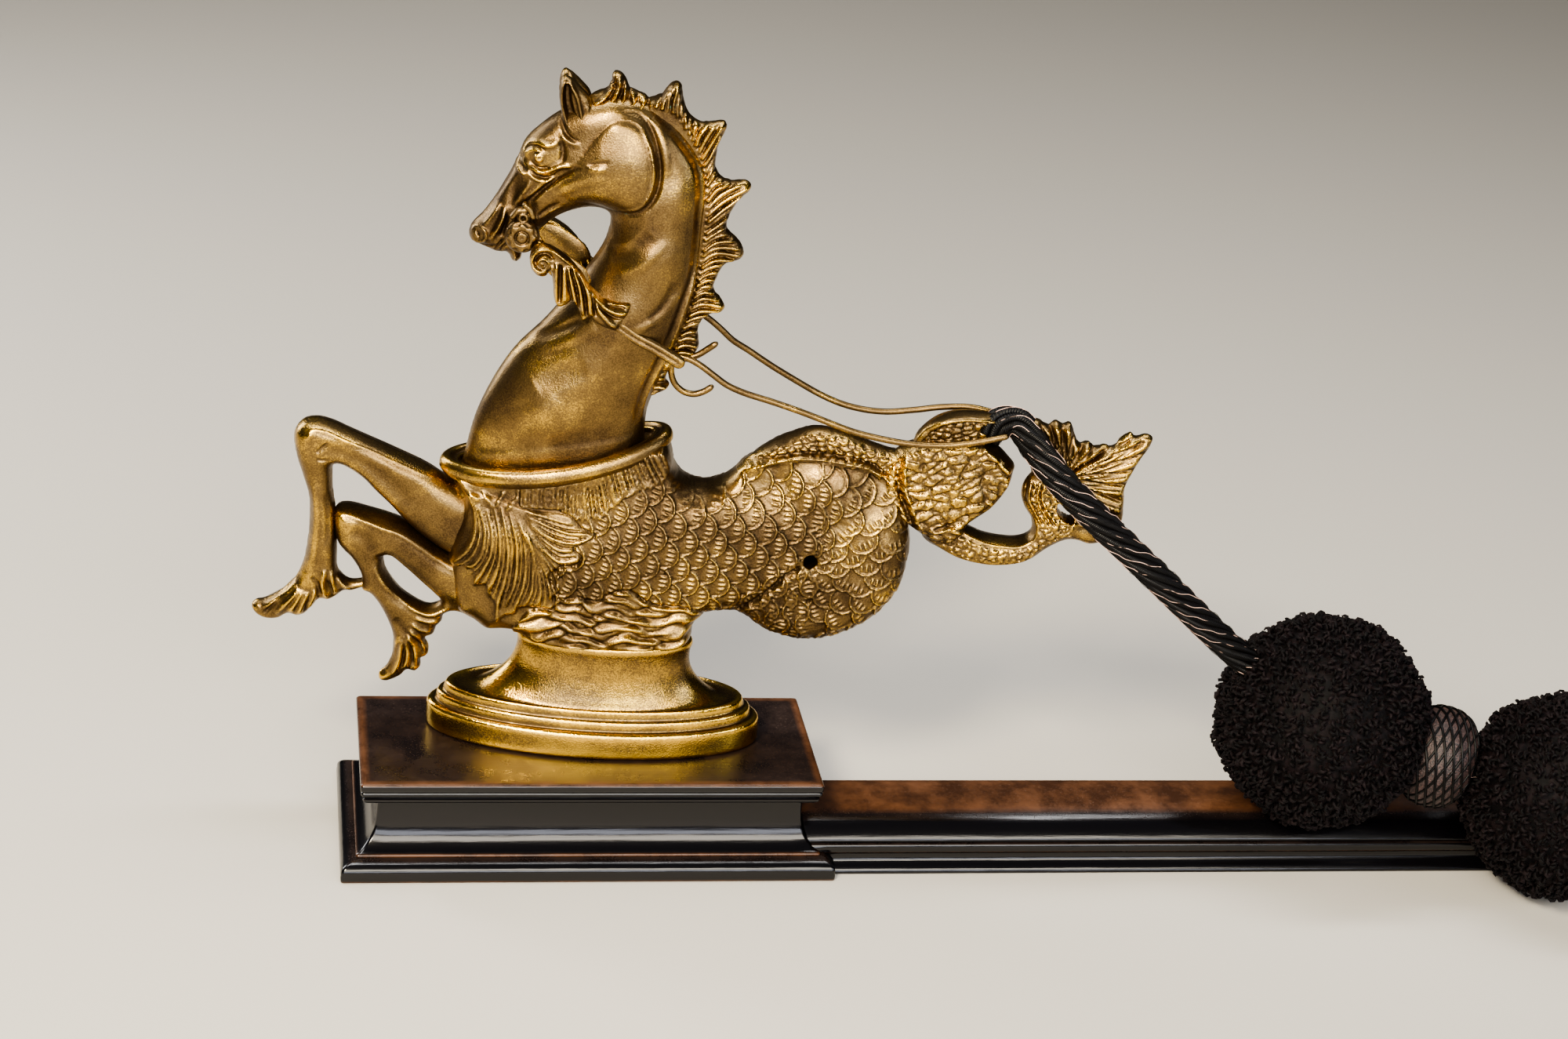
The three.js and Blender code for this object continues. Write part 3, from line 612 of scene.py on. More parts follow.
def skin(height, x, z, middle=0.0):
    """The closed skin where the casting's height is reached on both sides: one point in each cell
    that the surface crosses, and a quad round each cell edge that it cuts. The steps of the cells
    are smoothed away, and the flanks then lie on the drawn height again."""
    cell = x[1, 0] - x[0, 0]
    y = np.arange(-height.max() - 2 * cell, height.max() + 2 * cell, cell)
    field = (height[:, None, :] - np.abs(y)[None, :, None]).astype(np.float32)
    full = field > 0
    corners = [full[i:full.shape[0] - 1 + i, j:full.shape[1] - 1 + j, k:full.shape[2] - 1 + k]
               for i in (0, 1) for j in (0, 1) for k in (0, 1)]
    crossed = np.logical_or.reduce(corners) & ~np.logical_and.reduce(corners)
    cells = np.argwhere(crossed)
    number = np.full(crossed.shape, -1)
    number[crossed] = np.arange(len(cells))
    total, count = np.zeros((len(cells), 3)), np.zeros(len(cells))
    quads = []
    for axis in range(3):
        first, second = (axis + 1) % 3, (axis + 2) % 3
        for i in (0, 1):
            for j in (0, 1):
                offset = np.zeros(3, int)
                offset[first], offset[second] = i, j
                start = cells + offset
                end = start.copy()
                end[:, axis] += 1
                a, b = field[tuple(start.T)], field[tuple(end.T)]
                cut = (a > 0) != (b > 0)
                at = np.broadcast_to(offset.astype(float), (len(cells), 3)).copy()
                at[:, axis] += np.where(cut, a / np.where(cut, a - b, 1), 0)
                total[cut] += at[cut]
                count[cut] += 1
        low, high = [slice(None)] * 3, [slice(None)] * 3
        low[axis], high[axis] = slice(None, -1), slice(1, None)
        edges = np.argwhere(full[tuple(low)] != full[tuple(high)])
        rising = full[tuple(low)][tuple(edges.T)]
        ring = []
        for i, j in ((-1, -1), (0, -1), (0, 0), (-1, 0)):
            round_edge = edges.copy()
            round_edge[:, first] += i
            round_edge[:, second] += j
            ring.append(number[tuple(round_edge.T)])
        ring = np.stack(ring, axis=1)
        quads.append(np.where(rising[:, None], ring, ring[:, ::-1]))
    points = (cells + total / count[:, None]) * cell + np.array([x[0, 0], y[0], z[0, 0]])
    quads = np.vstack(quads)
    pairs = edge_pairs(quads)
    for share in SMOOTHING:
        points = points + share * (neighbour_mean(points, pairs) - points)
    slope = np.hypot(*np.gradient(height, cell))
    across, up = (points[:, 0] - x[0, 0]) / cell, (points[:, 2] - z[0, 0]) / cell
    i, j = across.astype(int), up.astype(int)
    u, v = across - i, up - j
    drawn, steep = [form[i, j] * (1 - u) * (1 - v) + form[i + 1, j] * u * (1 - v)
                    + form[i, j + 1] * (1 - u) * v + form[i + 1, j + 1] * u * v
                    for form in (height, slope)]
    share = np.clip((STEEPEST - steep) / STEEP_FADE, 0, 1) * (drawn > cell)
    points[:, 1] += share * (np.sign(points[:, 1]) * drawn - points[:, 1])
    points[:, 1] += middle
    return points, quads


# Hollows are measured from a smoothed copy of the skin. Columns: its rounds of smoothing, and the
# depth of a full hollow in millimetres. The fine one comes first, then the broad one.
HOLLOW_SCALES = ((4, 0.35), (30, 1.3))
KEPT_SHARE, MOST_TRIANGLES = 0.6, 190000


def cast_piece(name, skins, material, nodes, kept=KEPT_SHARE):
    """Joins skins into one piece of the casting, notes in each point how hollow the surface is
    there, and stands the piece for its CAD nodes. Kept is the share of its faces that stay when
    the flat stretches are thinned."""
    points, faces = [], []
    for skin_points, skin_faces in skins:
        faces.append(skin_faces + sum(len(p) for p in points))
        points.append(skin_points)
    points, faces = np.vstack(points), np.vstack(faces)
    pairs = edge_pairs(faces)
    mesh = bpy.data.meshes.new(name)
    mesh.from_pydata(points, [], faces.tolist())
    normals = np.zeros(len(points) * 3)
    mesh.vertex_normals.foreach_get("vector", normals)
    normals = normals.reshape(-1, 3)
    worn, hollows, done = points, [], 0
    for rounds, scale in HOLLOW_SCALES:
        for _ in range(rounds - done):
            worn = 0.5 * worn + 0.5 * neighbour_mean(worn, pairs)
        done = rounds
        hollows.append(np.einsum("ij,ij->i", worn - points, normals) / scale)
    for label, values in zip(("hollow_fine", "hollow_broad"), hollows):
        values = np.clip(values, -1, 1)[:, None]
        for _ in range(2):
            values = 0.5 * values + 0.5 * neighbour_mean(values, pairs)
        noted = mesh.attributes.new(label, "FLOAT", "POINT")
        noted.data.foreach_set("value", values[:, 0].astype(np.float32))
    mesh.vertices.foreach_set("co", placed(points).astype(np.float32).ravel())
    mesh.update()
    mesh.shade_smooth()
    mesh.materials.append(material)
    made = new_object(name, mesh)
    if kept < 1:
        thinned = made.modifiers.new("thinned", "DECIMATE")
        thinned.ratio = min(kept, MOST_TRIANGLES / (2 * len(faces)))
        lighter = bpy.data.meshes.new_from_object(made.evaluated_get(bpy.context.evaluated_depsgraph_get()))
        made.modifiers.remove(thinned)
        made.data = lighter
        bpy.data.meshes.remove(mesh)
    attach(made, "root")
    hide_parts(*nodes)
    return made


# Cast brass, poured in sand, filed and then polished by hand. The polish reaches the crests, which
# are pale and bright; the hollows keep the brown of old tarnish and are painted darker still as
# shade in the creases, with a few spots of verdigris. Large blotches are partly tarnish and partly a
# painted reflection of the dark room.
# The grain of the casting is about 0.3 mm, drawn at 0.6 mm so that it shows. Each scale is the
# number of a noise's lumps in a metre.
BRASS_HOLLOW_TARNISH_AND_SHADE, BRASS_BROWN, BRASS_BODY, BRASS_CREST = "2b2114", "503f2a", "7d6640", "edbf50"
VERDIGRIS = "5f9c86"
GRAIN_SCALE, BLOTCH_SCALE, FILING_SCALE, VERDIGRIS_SCALE = 1700.0, 38.0, 210.0, 120.0


def cast_brass(name, tarnish):
    """Polished cast brass. The tarnish, from 0 to 1, is how brown the piece has gone."""
    brass, tree, shader = new_material(name)
    fine = add(tree, "ShaderNodeAttribute", attribute_name="hollow_fine").outputs["Fac"]
    broad = add(tree, "ShaderNodeAttribute", attribute_name="hollow_broad").outputs["Fac"]
    spots = add(tree, "ShaderNodeTexCoord").outputs["Object"]
    blotches = add(tree, "ShaderNodeTexNoise", {
        "Vector": spots, "Scale": BLOTCH_SCALE, "Detail": 6.0, "Roughness": 0.62})
    grain = add(tree, "ShaderNodeTexNoise", {"Vector": spots, "Scale": GRAIN_SCALE, "Detail": 2.0})
    filing = add(tree, "ShaderNodeTexNoise", {"Vector": spots, "Scale": FILING_SCALE, "Detail": 3.0})
    # The polish of each point, with painted shade in it: most on the crests, least in the hollows,
    # where the dark is both tarnish and painted shade, and blotched in patches that are partly stain and
    # partly painted reflection
    polish_and_shade = add(tree, "ShaderNodeMath", {0: fine, 1: -0.42, 2: 0.6 - 0.3 * tarnish},
                 operation="MULTIPLY_ADD")
    polish_and_shade = add(tree, "ShaderNodeMath", {0: broad, 1: -0.3, 2: polish_and_shade}, operation="MULTIPLY_ADD")
    # Blotches: partly tarnish, partly a painted reflection of the dark room
    stain_and_reflection = add(tree, "ShaderNodeMapRange", {
        "Value": blotches, "From Min": 0.36, "From Max": 0.64, "To Min": -0.24 - 0.12 * tarnish, "To Max": 0.1})
    speckle = add(tree, "ShaderNodeMapRange", {
        "Value": grain, "From Min": 0.35, "From Max": 0.65, "To Min": -0.1, "To Max": 0.08})
    polish_and_shade = add(tree, "ShaderNodeMath", {0: polish_and_shade, 1: stain_and_reflection}, operation="ADD")
    polish_and_shade = add(tree, "ShaderNodeMath", {0: polish_and_shade, 1: speckle}, operation="ADD", use_clamp=True)
    # The ramp paints the hollows dark as tarnish and painted shade, and the crests pale as polish
    colour = add(tree, "ShaderNodeValToRGB", {"Fac": polish_and_shade})
    ramp = colour.color_ramp.elements
    ramp[0].position, ramp[0].color = 0.08, linear(BRASS_HOLLOW_TARNISH_AND_SHADE)
    ramp[1].position, ramp[1].color = 0.95, linear(BRASS_CREST)
    for place, tone in ((0.34, BRASS_BROWN), (0.63, BRASS_BODY)):
        ramp.new(place).color = linear(tone)
    # Verdigris, in a few spots and only where it is hollow. It is a crust, so it is no metal.
    patch = add(tree, "ShaderNodeTexNoise", {"Vector": spots, "Scale": VERDIGRIS_SCALE, "Detail": 4.0})
    patch = add(tree, "ShaderNodeMapRange", {"Value": patch, "From Min": 0.7, "From Max": 0.76})
    hollow = add(tree, "ShaderNodeMapRange", {"Value": polish_and_shade, "From Min": 0.35, "From Max": 0.15})
    green = add(tree, "ShaderNodeMath", {0: patch, 1: hollow}, operation="MULTIPLY")
    mixed = add(tree, "ShaderNodeMix", {0: green, 6: colour, 7: linear(VERDIGRIS)}, data_type="RGBA")
    metal = add(tree, "ShaderNodeMath", {0: 1.0, 1: green}, operation="SUBTRACT")
    dull = add(tree, "ShaderNodeMapRange", {
        "Value": polish_and_shade, "From Min": 0.15, "From Max": 0.85, "To Min": 0.42, "To Max": 0.13 + 0.1 * tarnish})
    rough = add(tree, "ShaderNodeMath", {0: grain, 1: 0.13, 2: dull}, operation="MULTIPLY_ADD")
    waves = add(tree, "ShaderNodeMath", {0: filing, 1: 1.4, 2: grain}, operation="MULTIPLY_ADD")
    bump = add(tree, "ShaderNodeBump", {"Height": waves, "Strength": 0.5, "Distance": 0.22 * MM})
    fill(tree, shader, {"Base Color": mixed.outputs[2], "Metallic": metal, "Roughness": rough,
                        "Normal": bump})
    return brass


brass = cast_brass("cast_brass_hand_polished", 0.0)

# Outline of the neck and head, from the poll along the crest, round the foot of the neck, up the
# throat and along the jaw to the muzzle and the forehead
NECK_AND_HEAD = [
    (-15, 263), (-8, 265), (1, 264), (11, 259.5), (20.5, 250), (26.5, 240), (28, 231), (28, 221),
    (27.5, 204), (27, 191), (24, 177), (20, 164.5), (15.5, 152), (12.5, 142), (12, 133), (13, 118),
    (13, 100), (-60, 100), (-57, 114), (-52, 137), (-41, 160.5), (-27, 177.5), (-15, 195.5), (-7.5, 210),
    (-7, 219.5), (-13, 221.5), (-24.5, 218), (-32, 211.5), (-37, 206), (-38.8, 202.6), (-38.4, 200.4),
    (-39.2, 198.4), (-41, 197.7), (-42.6, 198.7), (-43, 200.6), (-44.4, 201.6), (-47, 201.2), (-50, 202.2),
    (-53, 203.4), (-57, 204.6), (-58.4, 207.4), (-57.9, 210.8), (-53, 217), (-46, 229), (-42.5, 237),
    (-39, 246), (-33, 252.5), (-26, 258), (-21, 261),
]
NECK_THICKNESS = [
    (-20, 105, 12.6), (-20, 122, 13.6), (-10, 128, 14), (-40, 118, 12.6), (-20, 145, 17), (-8, 160, 17),
    (2, 180, 17), (9, 200, 16), (14, 225, 14), (15, 245, 12), (0, 258, 9.5), (-10, 256, 10.5),
    (-4, 240, 13), (-17, 238, 12.5), (-16, 228, 10.5), (-28, 250, 9), (-33, 242, 9.5), (-32, 228, 8.5),
    (-38, 222, 7.5), (-44, 214, 7.5), (-50, 209, 7), (-55, 207, 5.5), (-45, 203, 6),
]
NECK_ROUNDING = [
    (-20, 110, 30), (-10, 160, 28), (5, 190, 22), (12, 220, 15), (10, 250, 12), (-8, 258, 9),
    (-20, 240, 13), (-33, 245, 8), (-35, 228, 8), (-42, 216, 7), (-52, 208, 5.5),
]
CHEEK = [
    (-14, 251), (-8, 257), (-1, 257.5), (4, 253.5), (7.5, 247), (9, 240), (8, 233.5), (5, 228), (0, 224.5),
    (-6, 223), (-14, 225), (-22, 226), (-26, 230), (-22, 238), (-17, 246),
]

x, z = plane((-66, 94), (34, 271))
depth = inside(x, z, NECK_AND_HEAD)
neck = dome(depth, spread(x, z, NECK_ROUNDING, 10), spread(x, z, NECK_THICKNESS, 8))
cheek_depth = inside(x, z, CHEEK)
# The cheek is a low round swelling that fades out toward the muzzle
CHEEK_EDGE, CHEEK_RISE = 9.0, 3.0
swelling = dome(cheek_depth, CHEEK_EDGE, CHEEK_RISE) * np.clip((x + 27) / 15, 0, 1)
cheek = np.where(cheek_depth > 0, swelling, -4.0)
neck = np.where(cheek_depth > -6, np.maximum(neck, fused(neck, neck + cheek, 1.2) - 0.3), neck)
# Columns: line, half width, height. Eye, lids and brow; the long bones of the face; jaw; muzzle
HEAD_STROKES = [
    ([(-38.6, 242.6), (-37, 239.4), (-34, 238.2)], 4.2, -1.3), ([(-36, 241), (-33.4, 241.4)], 2.3, 1.2),
    ([(-38.5, 239.6), (-38.6, 242), (-37.5, 243.4), (-35.8, 244.1), (-33.4, 243.6),
      (-31.6, 242.2)], 0.7, 0.9),
    ([(-39.2, 242.6), (-37.4, 244.8), (-35, 245.3), (-32, 244.7)], 0.8, -1.1),
    ([(-40.2, 241.6), (-39.6, 244.4), (-37.4, 246.2)], 1.0, 0.5),
    ([(-37.4, 246.4), (-34.5, 246.9), (-31.8, 246.4), (-29.2, 247), (-27.2, 248.6)], 1.7, 1.5),
    ([(-42, 247), (-38.4, 249.6), (-34, 250.6), (-30, 251.6)], 2.4, -0.6),
    ([(-26.8, 248.4), (-25.6, 245.8), (-25.4, 243), (-26.4, 240.4)], 1.6, -1.3),
    ([(-37.4, 239.8), (-35.5, 238.2), (-33, 237.7), (-30.2, 238.3)], 0.9, -1.0),
    ([(-36.8, 237.6), (-33.6, 236.1), (-30.6, 236.8), (-28, 238.3), (-25, 239.5),
      (-22.4, 239.7)], 1.1, 1.3),
    ([(-37.2, 236.4), (-34.5, 234.5), (-31.5, 234), (-28.5, 235), (-25.5, 237.4),
      (-22.6, 238.4)], 0.9, -1.2),
    ([(-38.4, 235), (-36, 233.6), (-33.8, 232.6), (-31.4, 232.5), (-28.6, 233.8)], 0.8, 0.8),
    ([(-42.9, 238), (-41.7, 236), (-40.2, 234.8), (-38.2, 234.5)], 0.9, 1.5),
    ([(-40.7, 240.8), (-40.8, 238.2), (-39.8, 236.7), (-38.2, 236.1)], 1.3, -1.5),
    ([(-18.6, 240.3), (-23.2, 237.5), (-26, 235.1), (-28.6, 232.6), (-32, 229.5), (-34.6, 226.8),
      (-36.8, 224.4), (-37.8, 222.4)], 1.5, -1.4),
    ([(-27.4, 234.6), (-30, 232.6), (-32.8, 230.4), (-35.4, 227.8), (-38.2, 225.2),
      (-41.2, 222.8)], 1.6, 0.6),
    ([(-10, 238), (-14, 236.4), (-18.4, 234.8), (-22, 232.7), (-25, 230.3), (-28, 228), (-31, 225.6),
      (-34.4, 222.8)], 3.6, 0.9),
    ([(-20.4, 237.6), (-24.5, 235), (-28.4, 231.4), (-32, 227.6), (-34.8, 223.8)], 1.0, 0.6),
    ([(-16.4, 241.4), (-12, 242.6), (-8.6, 243.4)], 1.2, -0.6),
    ([(-16.6, 240.2), (-13.2, 239.8), (-9.4, 240.8)], 1.6, 0.7),
    ([(-25.6, 224.6), (-29.6, 221.8), (-32, 219.6), (-33.4, 218)], 1.1, -0.6),
    ([(-25, 223), (-29, 220.4), (-33, 217)], 1.2, 0.5), ([(-33.8, 217.4), (-33.2, 217.7)], 1.7, 1.3),
    ([(-42.6, 234.4), (-45, 229.6), (-47, 225.5), (-48.2, 222.4)], 2.2, 1.0),
    ([(-40, 233.4), (-41.6, 229), (-42.9, 224.8), (-43.6, 221)], 2.2, -1.1),
    ([(-36.4, 232.4), (-38, 229.2), (-40, 226), (-42, 222.6)], 1.4, 0.8),
    ([(-47.6, 222.2), (-48.9, 219.5), (-51, 216), (-53.2, 212.6)], 1.5, 1.5),
    ([(-46.4, 221), (-47.8, 217.4), (-49.5, 213.6), (-50.8, 209.6)], 0.6, -0.5),
    ([(-45.6, 221), (-46.1, 217), (-47.4, 213.5), (-49.2, 210), (-50.4, 207.4)], 1.5, 1.9),
    ([(-44.3, 218), (-45.3, 213.4), (-46.5, 209.4)], 1.1, -1.5),
    ([(-57.6, 209.4), (-56.5, 211.7), (-53.8, 211.9), (-51.8, 209.9), (-52.6, 207), (-55.4, 205.9),
      (-57.4, 207)], 0.9, 1.2),
    ([(-55.2, 209), (-54.4, 209.2)], 1.7, -2.4), ([(-45.2, 208.8), (-47, 206), (-48.4, 203.2)], 0.7, -1.4),
    ([(-43.6, 207.4), (-45.8, 204.6), (-47, 201.8)], 0.7, -1.3),
    ([(-57.2, 204.9), (-53, 204.7), (-50, 204.9), (-48, 205.8)], 0.7, -1.5),
    ([(-41, 199.9), (-40.6, 200.1)], 2.3, 2.2),
    ([(-27.2, 258.6), (-26.2, 254), (-24, 250.6), (-20, 248.2)], 1.3, -1.0),
    ([(-26.8, 250.4), (-23.6, 248.6), (-19.4, 247.8)], 1.5, 0.9),
]
NECK_STROKES = [
    ([(-6, 257.6), (-2.5, 258.2), (1.4, 256.8), (4.4, 252.8), (6.6, 247.4), (8, 241), (7.8, 234.5),
      (6, 229.5), (3, 226), (-2, 223.8), (-7.6, 223.4)], 1.0, 1.1),
    ([(-5, 260.6), (0.4, 260.2), (4.6, 257), (7.4, 252.4), (9.3, 246.6), (10.4, 240.5), (10, 233.5),
      (7.6, 228), (3.6, 224.2), (-2, 222)], 1.3, -1.3),
    ([(-4, 263), (2, 262.4), (7.2, 258.6), (10.4, 252.8), (12.2, 246), (13, 239)], 1.6, 0.5),
    ([(-38, 163.5), (-28.5, 168.5), (-19, 173.5), (-9.5, 179.5)], 4.0, 0.9),
    ([(-31, 169.5), (-22, 174.8), (-15, 180.5)], 2.4, -1.1),
    ([(-30, 153), (-21.5, 159), (-12, 163)], 6.0, -0.8), ([(-45, 130), (-30, 141), (-22, 150)], 7.0, 0.6),
    ([(11, 183), (16, 189), (20, 198)], 3.6, -1.2), ([(5, 178.5), (14.5, 185), (20, 193.5)], 2.6, 0.8),
    ([(-6, 205), (2, 209), (9, 216)], 4.0, -1.0), ([(-2, 200), (6, 205), (14, 214)], 3.0, 0.6),
    ([(0, 266.5), (11, 261), (20.8, 251.3), (26, 242), (27.6, 233.5), (27.8, 223.5), (27.6, 207),
      (26.2, 196), (23.3, 184), (20.2, 173), (16.2, 161.5), (12, 150), (10.5, 138)], 1.2, 1.6),
    ([(-3, 263.5), (9, 258), (18.3, 249), (23.6, 241), (25.2, 233), (25.4, 223.5), (25.2, 207), (24, 197),
      (21, 185.5), (18, 174.5), (14, 163), (9.8, 151), (8, 138)], 1.7, -1.4),
]
for line, width, height in HEAD_STROKES:
    stroke(neck, x, z, line, width, height, taper=0.3 if width < 1.7 else 0.5)
chase(neck, x, z, NECK_STROKES, 0.3)
# The eye in rings round its middle: its lid, its drilled pupil and the groove outside the lid
EYE = (-34.1, 241.5)
eye = np.hypot(x - EYE[0], z - EYE[1])
lid = 0.6 * np.exp(-((eye - 1.1) / 0.45) ** 2)
pupil = 0.6 * np.exp(-(eye / 0.5) ** 2)
groove = 0.4 * np.exp(-((eye - 2.1) / 0.4) ** 2)
neck += lid - pupil - groove
# The foot of the neck is a little thicker below this line, which follows the rim of the collar.
# Columns: x, z
NECK_LEDGE = [
    (-60, 123), (-48, 124), (-40, 126), (-28, 128.4), (-16, 130.4), (-6, 132.4), (6, 134.2), (14, 136),
    (30, 140),
]
ledge = np.interp(x, *np.array(NECK_LEDGE).T)
neck += 0.45 * np.clip((ledge - z) / 2.2, 0, 1) * np.clip((depth - 2) / 4, 0, 1)
neck = at_least(neck, depth, 0.6)
cast_piece("neck_and_head_cast", [skin(neck, x, z)], brass, ["neck_and_head"], kept=0.5)

# Ears, forelock and mane: cast with the neck. The mane is a thin crest of pointed locks, each
# fluted from the bead behind the crest of the neck out to its tip.
EAR_ASIDE, EAR_EDGE, EAR_THICKNESS = 4.2, 2.6, 3.2
EAR = [
    (-19.4, 246), (-21.8, 247.4), (-24.2, 251.2), (-26.2, 256.2), (-27.8, 262.6), (-28.1, 269),
    (-26.7, 272), (-24.4, 271.2), (-20.4, 268), (-17, 264.4), (-15.8, 260.2), (-14.6, 255), (-14.6, 249.8),
    (-16.4, 246.6),
]
# Columns: line, half width, height. Front lip, hollow, the fold in its foot, and the back edge
EAR_STROKES = [
    ([(-26.6, 271), (-27.3, 264), (-25.9, 256.8), (-23.3, 251.4), (-19.6, 248)], 1.0, 1.3),
    ([(-25.4, 269.4), (-24.9, 263.4), (-23.3, 257.6), (-21.2, 253.4)], (1.5, 2.5), -3.6),
    ([(-22.9, 257.4), (-21.9, 254.2), (-20.4, 252)], 1.0, 2.2),
    ([(-24.8, 270.4), (-21.6, 265), (-20, 259.6), (-18.6, 253.6), (-18, 249.6)], 1.1, 1.3),
    ([(-17.4, 262), (-16.4, 256), (-16.2, 251)], 1.6, 0.5),
]
FORELOCK = [
    (-19, 259), (-17, 263.5), (-13.5, 266), (-10.4, 267), (-9.4, 269.8), (-8.6, 268.6), (-9.4, 272),
    (-8.4, 273.6), (-6, 273.2), (-4, 270.8), (-2.8, 268.2), (0.5, 266.6), (4, 265), (5, 259), (-6, 256),
]
MANE = [
    (2, 258), (4, 264), (7, 265), (9.5, 266.4), (11.3, 269.4), (13, 271), (14.4, 271.4), (16, 270.5),
    (16.6, 267.5), (17.5, 264), (18.8, 261), (20.8, 258.6), (24.5, 256.7), (27.5, 257), (30, 257.5),
    (32.6, 257.9), (33.9, 256), (33.2, 253.4), (32, 250.6), (31, 247.4), (30.8, 244), (30.4, 241),
    (31.4, 239), (33, 236.6), (36.5, 235), (40, 235.4), (42.8, 235.5), (44.6, 234), (44.2, 231.5),
    (42.4, 229.8), (40.4, 227.6), (38.8, 224.5), (37.6, 221.8), (36.8, 219), (37, 216.5), (39, 214.5),
    (41.4, 212.4), (43.2, 210), (44.1, 207), (43, 204.6), (40, 203.4), (37.4, 202.2), (35.8, 199.5),
    (34.8, 196.5), (33.8, 193), (34.6, 190.8), (36.2, 189.4), (37.4, 187.8), (38.7, 185.4), (38.4, 183.8),
    (36.4, 182.8), (33, 181.6), (30.8, 179.6), (29.6, 177), (29.4, 174.5), (30, 171), (30, 167.5),
    (27.5, 164.6), (22.6, 163.2), (20, 158.6), (18.4, 154.6), (20.2, 152.4), (19.4, 150.4), (15, 148),
    (11, 146), (9, 139), (5, 139), (9, 152), (14, 168), (20, 190), (22, 206), (22, 226), (18, 243),
    (8, 254),
]
# Each flute runs out from the bead. Columns: its foot, its bend and its tip in the horse's plane
MANE_FLUTES = [
    ((7, 262), (7.8, 264), (8.4, 266)), ((9.4, 261.4), (10, 264.6), (11.4, 268.4)),
    ((11.6, 260.8), (11.8, 265.6), (13.3, 270.4)), ((13.6, 260), (13.6, 264.8), (14.9, 270.6)),
    ((15.6, 258.8), (15.2, 263), (15.8, 268.6)), ((17.6, 256.8), (16.8, 260), (16.9, 264)),
    ((19.2, 254.6), (18.4, 257.6), (18.6, 260.4)), ((20.6, 252.4), (20, 255.6), (20.4, 258.6)),
    ((22, 250), (21.7, 254), (23, 257)), ((23, 248), (24, 252.6), (26.8, 256.6)),
    ((24.2, 245.6), (26, 250.4), (29.4, 256.8)), ((25.4, 243), (27.8, 248), (32.2, 256.8)),
    ((26.2, 240.6), (28.8, 245), (32, 253)), ((27, 238.2), (29, 241.6), (31, 247)),
    ((27.6, 235.8), (29.4, 239), (30.6, 243)), ((28, 233), (29.4, 236), (31.4, 238.8)),
    ((28.4, 230.2), (30.6, 233.8), (34.4, 235.6)), ((28.6, 227.2), (31.4, 231.8), (37, 235)),
    ((28.8, 224.2), (33, 229.2), (41, 235)), ((28.8, 221.6), (33.6, 226.6), (43.8, 233.4)),
    ((28.8, 219.2), (34.4, 224.2), (41.6, 230)), ((28.8, 216.8), (33.8, 221.4), (39.4, 226.4)),
    ((28.8, 214.6), (33.4, 218.4), (37.6, 221.6)), ((28.6, 212), (32.8, 215.4), (36.6, 217.8)),
    ((28.6, 209.8), (33, 213.4), (38, 215.2)), ((28.4, 207.6), (33.4, 211.6), (40.6, 212.6)),
    ((28.2, 205.2), (33.6, 209.2), (43, 209.4)), ((28, 202.8), (33.4, 207), (43.6, 206.4)),
    ((28, 200.6), (33.4, 204.4), (41, 204.6)), ((27.8, 198.2), (32.6, 201.6), (37.2, 202.6)),
    ((27.4, 195.8), (31.4, 198.8), (35.4, 199.4)), ((27, 193.2), (30.8, 196.2), (34.4, 196.6)),
    ((26.6, 190.8), (30.4, 193.4), (33.6, 193.4)), ((26.2, 188.6), (30.2, 191.4), (34.4, 191)),
    ((25.8, 186), (30, 188.8), (36.4, 188.6)), ((25.2, 183.6), (30, 186.4), (38.2, 185.6)),
    ((24.6, 181.2), (29.8, 183.8), (37.6, 183.8)), ((23.8, 178.6), (28.4, 181), (33, 181.8)),
    ((23, 176), (26.8, 178), (30.4, 178.8)), ((22.4, 173.4), (25.8, 175.2), (29.2, 175.4)),
    ((21.6, 170.8), (25.4, 172.4), (29.6, 172)), ((20.6, 168), (25, 169.8), (30, 169)),
    ((19.8, 165.6), (24.4, 167), (29, 166)), ((17.6, 160.6), (20, 161), (21.6, 160.4)),
    ((15.4, 155.6), (17.6, 155.6), (18.8, 154.4)), ((13.6, 151.8), (16.4, 152.2), (19.4, 151.6)),
    ((11.4, 148.4), (13.6, 148.8), (15.4, 148.4)),
]
x, z = plane((-31, 242), (-11, 276), cell=0.4)
depth = inside(x, z, EAR, 0.8)
ear = dome(depth, EAR_EDGE, EAR_THICKNESS)
chase(ear, x, z, EAR_STROKES, 0.1)
ear = at_least(ear, depth, 0.7)
skins = [skin(ear, x, z, aside) for aside in (-EAR_ASIDE, EAR_ASIDE)]
cast_piece("ears_cast", skins, brass, ["ear_near", "ear_far"])

# Columns: x, z, half thickness
MANE_THICKNESS = [
    (8, 250, 5), (24, 220, 5), (40, 232, 3), (40, 208, 3), (36, 186, 3), (30, 256, 3), (14, 150, 4),
]
# Each strand of the forelock, foot to tip
FORELOCK_STRANDS = [
    [(-16, 261), (-12, 264), (-8.6, 270.6)], [(-12, 260), (-8, 264.6), (-6.4, 272)],
    [(-8, 259.6), (-4.8, 264), (-4.2, 269.4)], [(-4, 260), (-1, 263), (-1.4, 266.6)],
    [(0.4, 260), (2.2, 262), (3, 264.6)],
]
x, z = plane((-22, 136), (48, 276), cell=0.5)
lock_depth = inside(x, z, FORELOCK, 0.8)
mane_depth = inside(x, z, MANE, 1.0)
depth = np.maximum(lock_depth, mane_depth)
MANE_EDGE, FORELOCK_EDGE, FORELOCK_THICKNESS = 2.6, 3.0, 4.2
mane = dome(mane_depth, MANE_EDGE, spread(x, z, MANE_THICKNESS, 8))
forelock = dome(lock_depth, FORELOCK_EDGE, FORELOCK_THICKNESS)
mane = np.where(mane_depth > lock_depth, mane, forelock)
for number, flute in enumerate(MANE_FLUTES):
    stroke(mane, x, z, flute, (1.5, 1.2), 1.2 + 0.5 * math.sin(2.3 * number), taper=0.1)
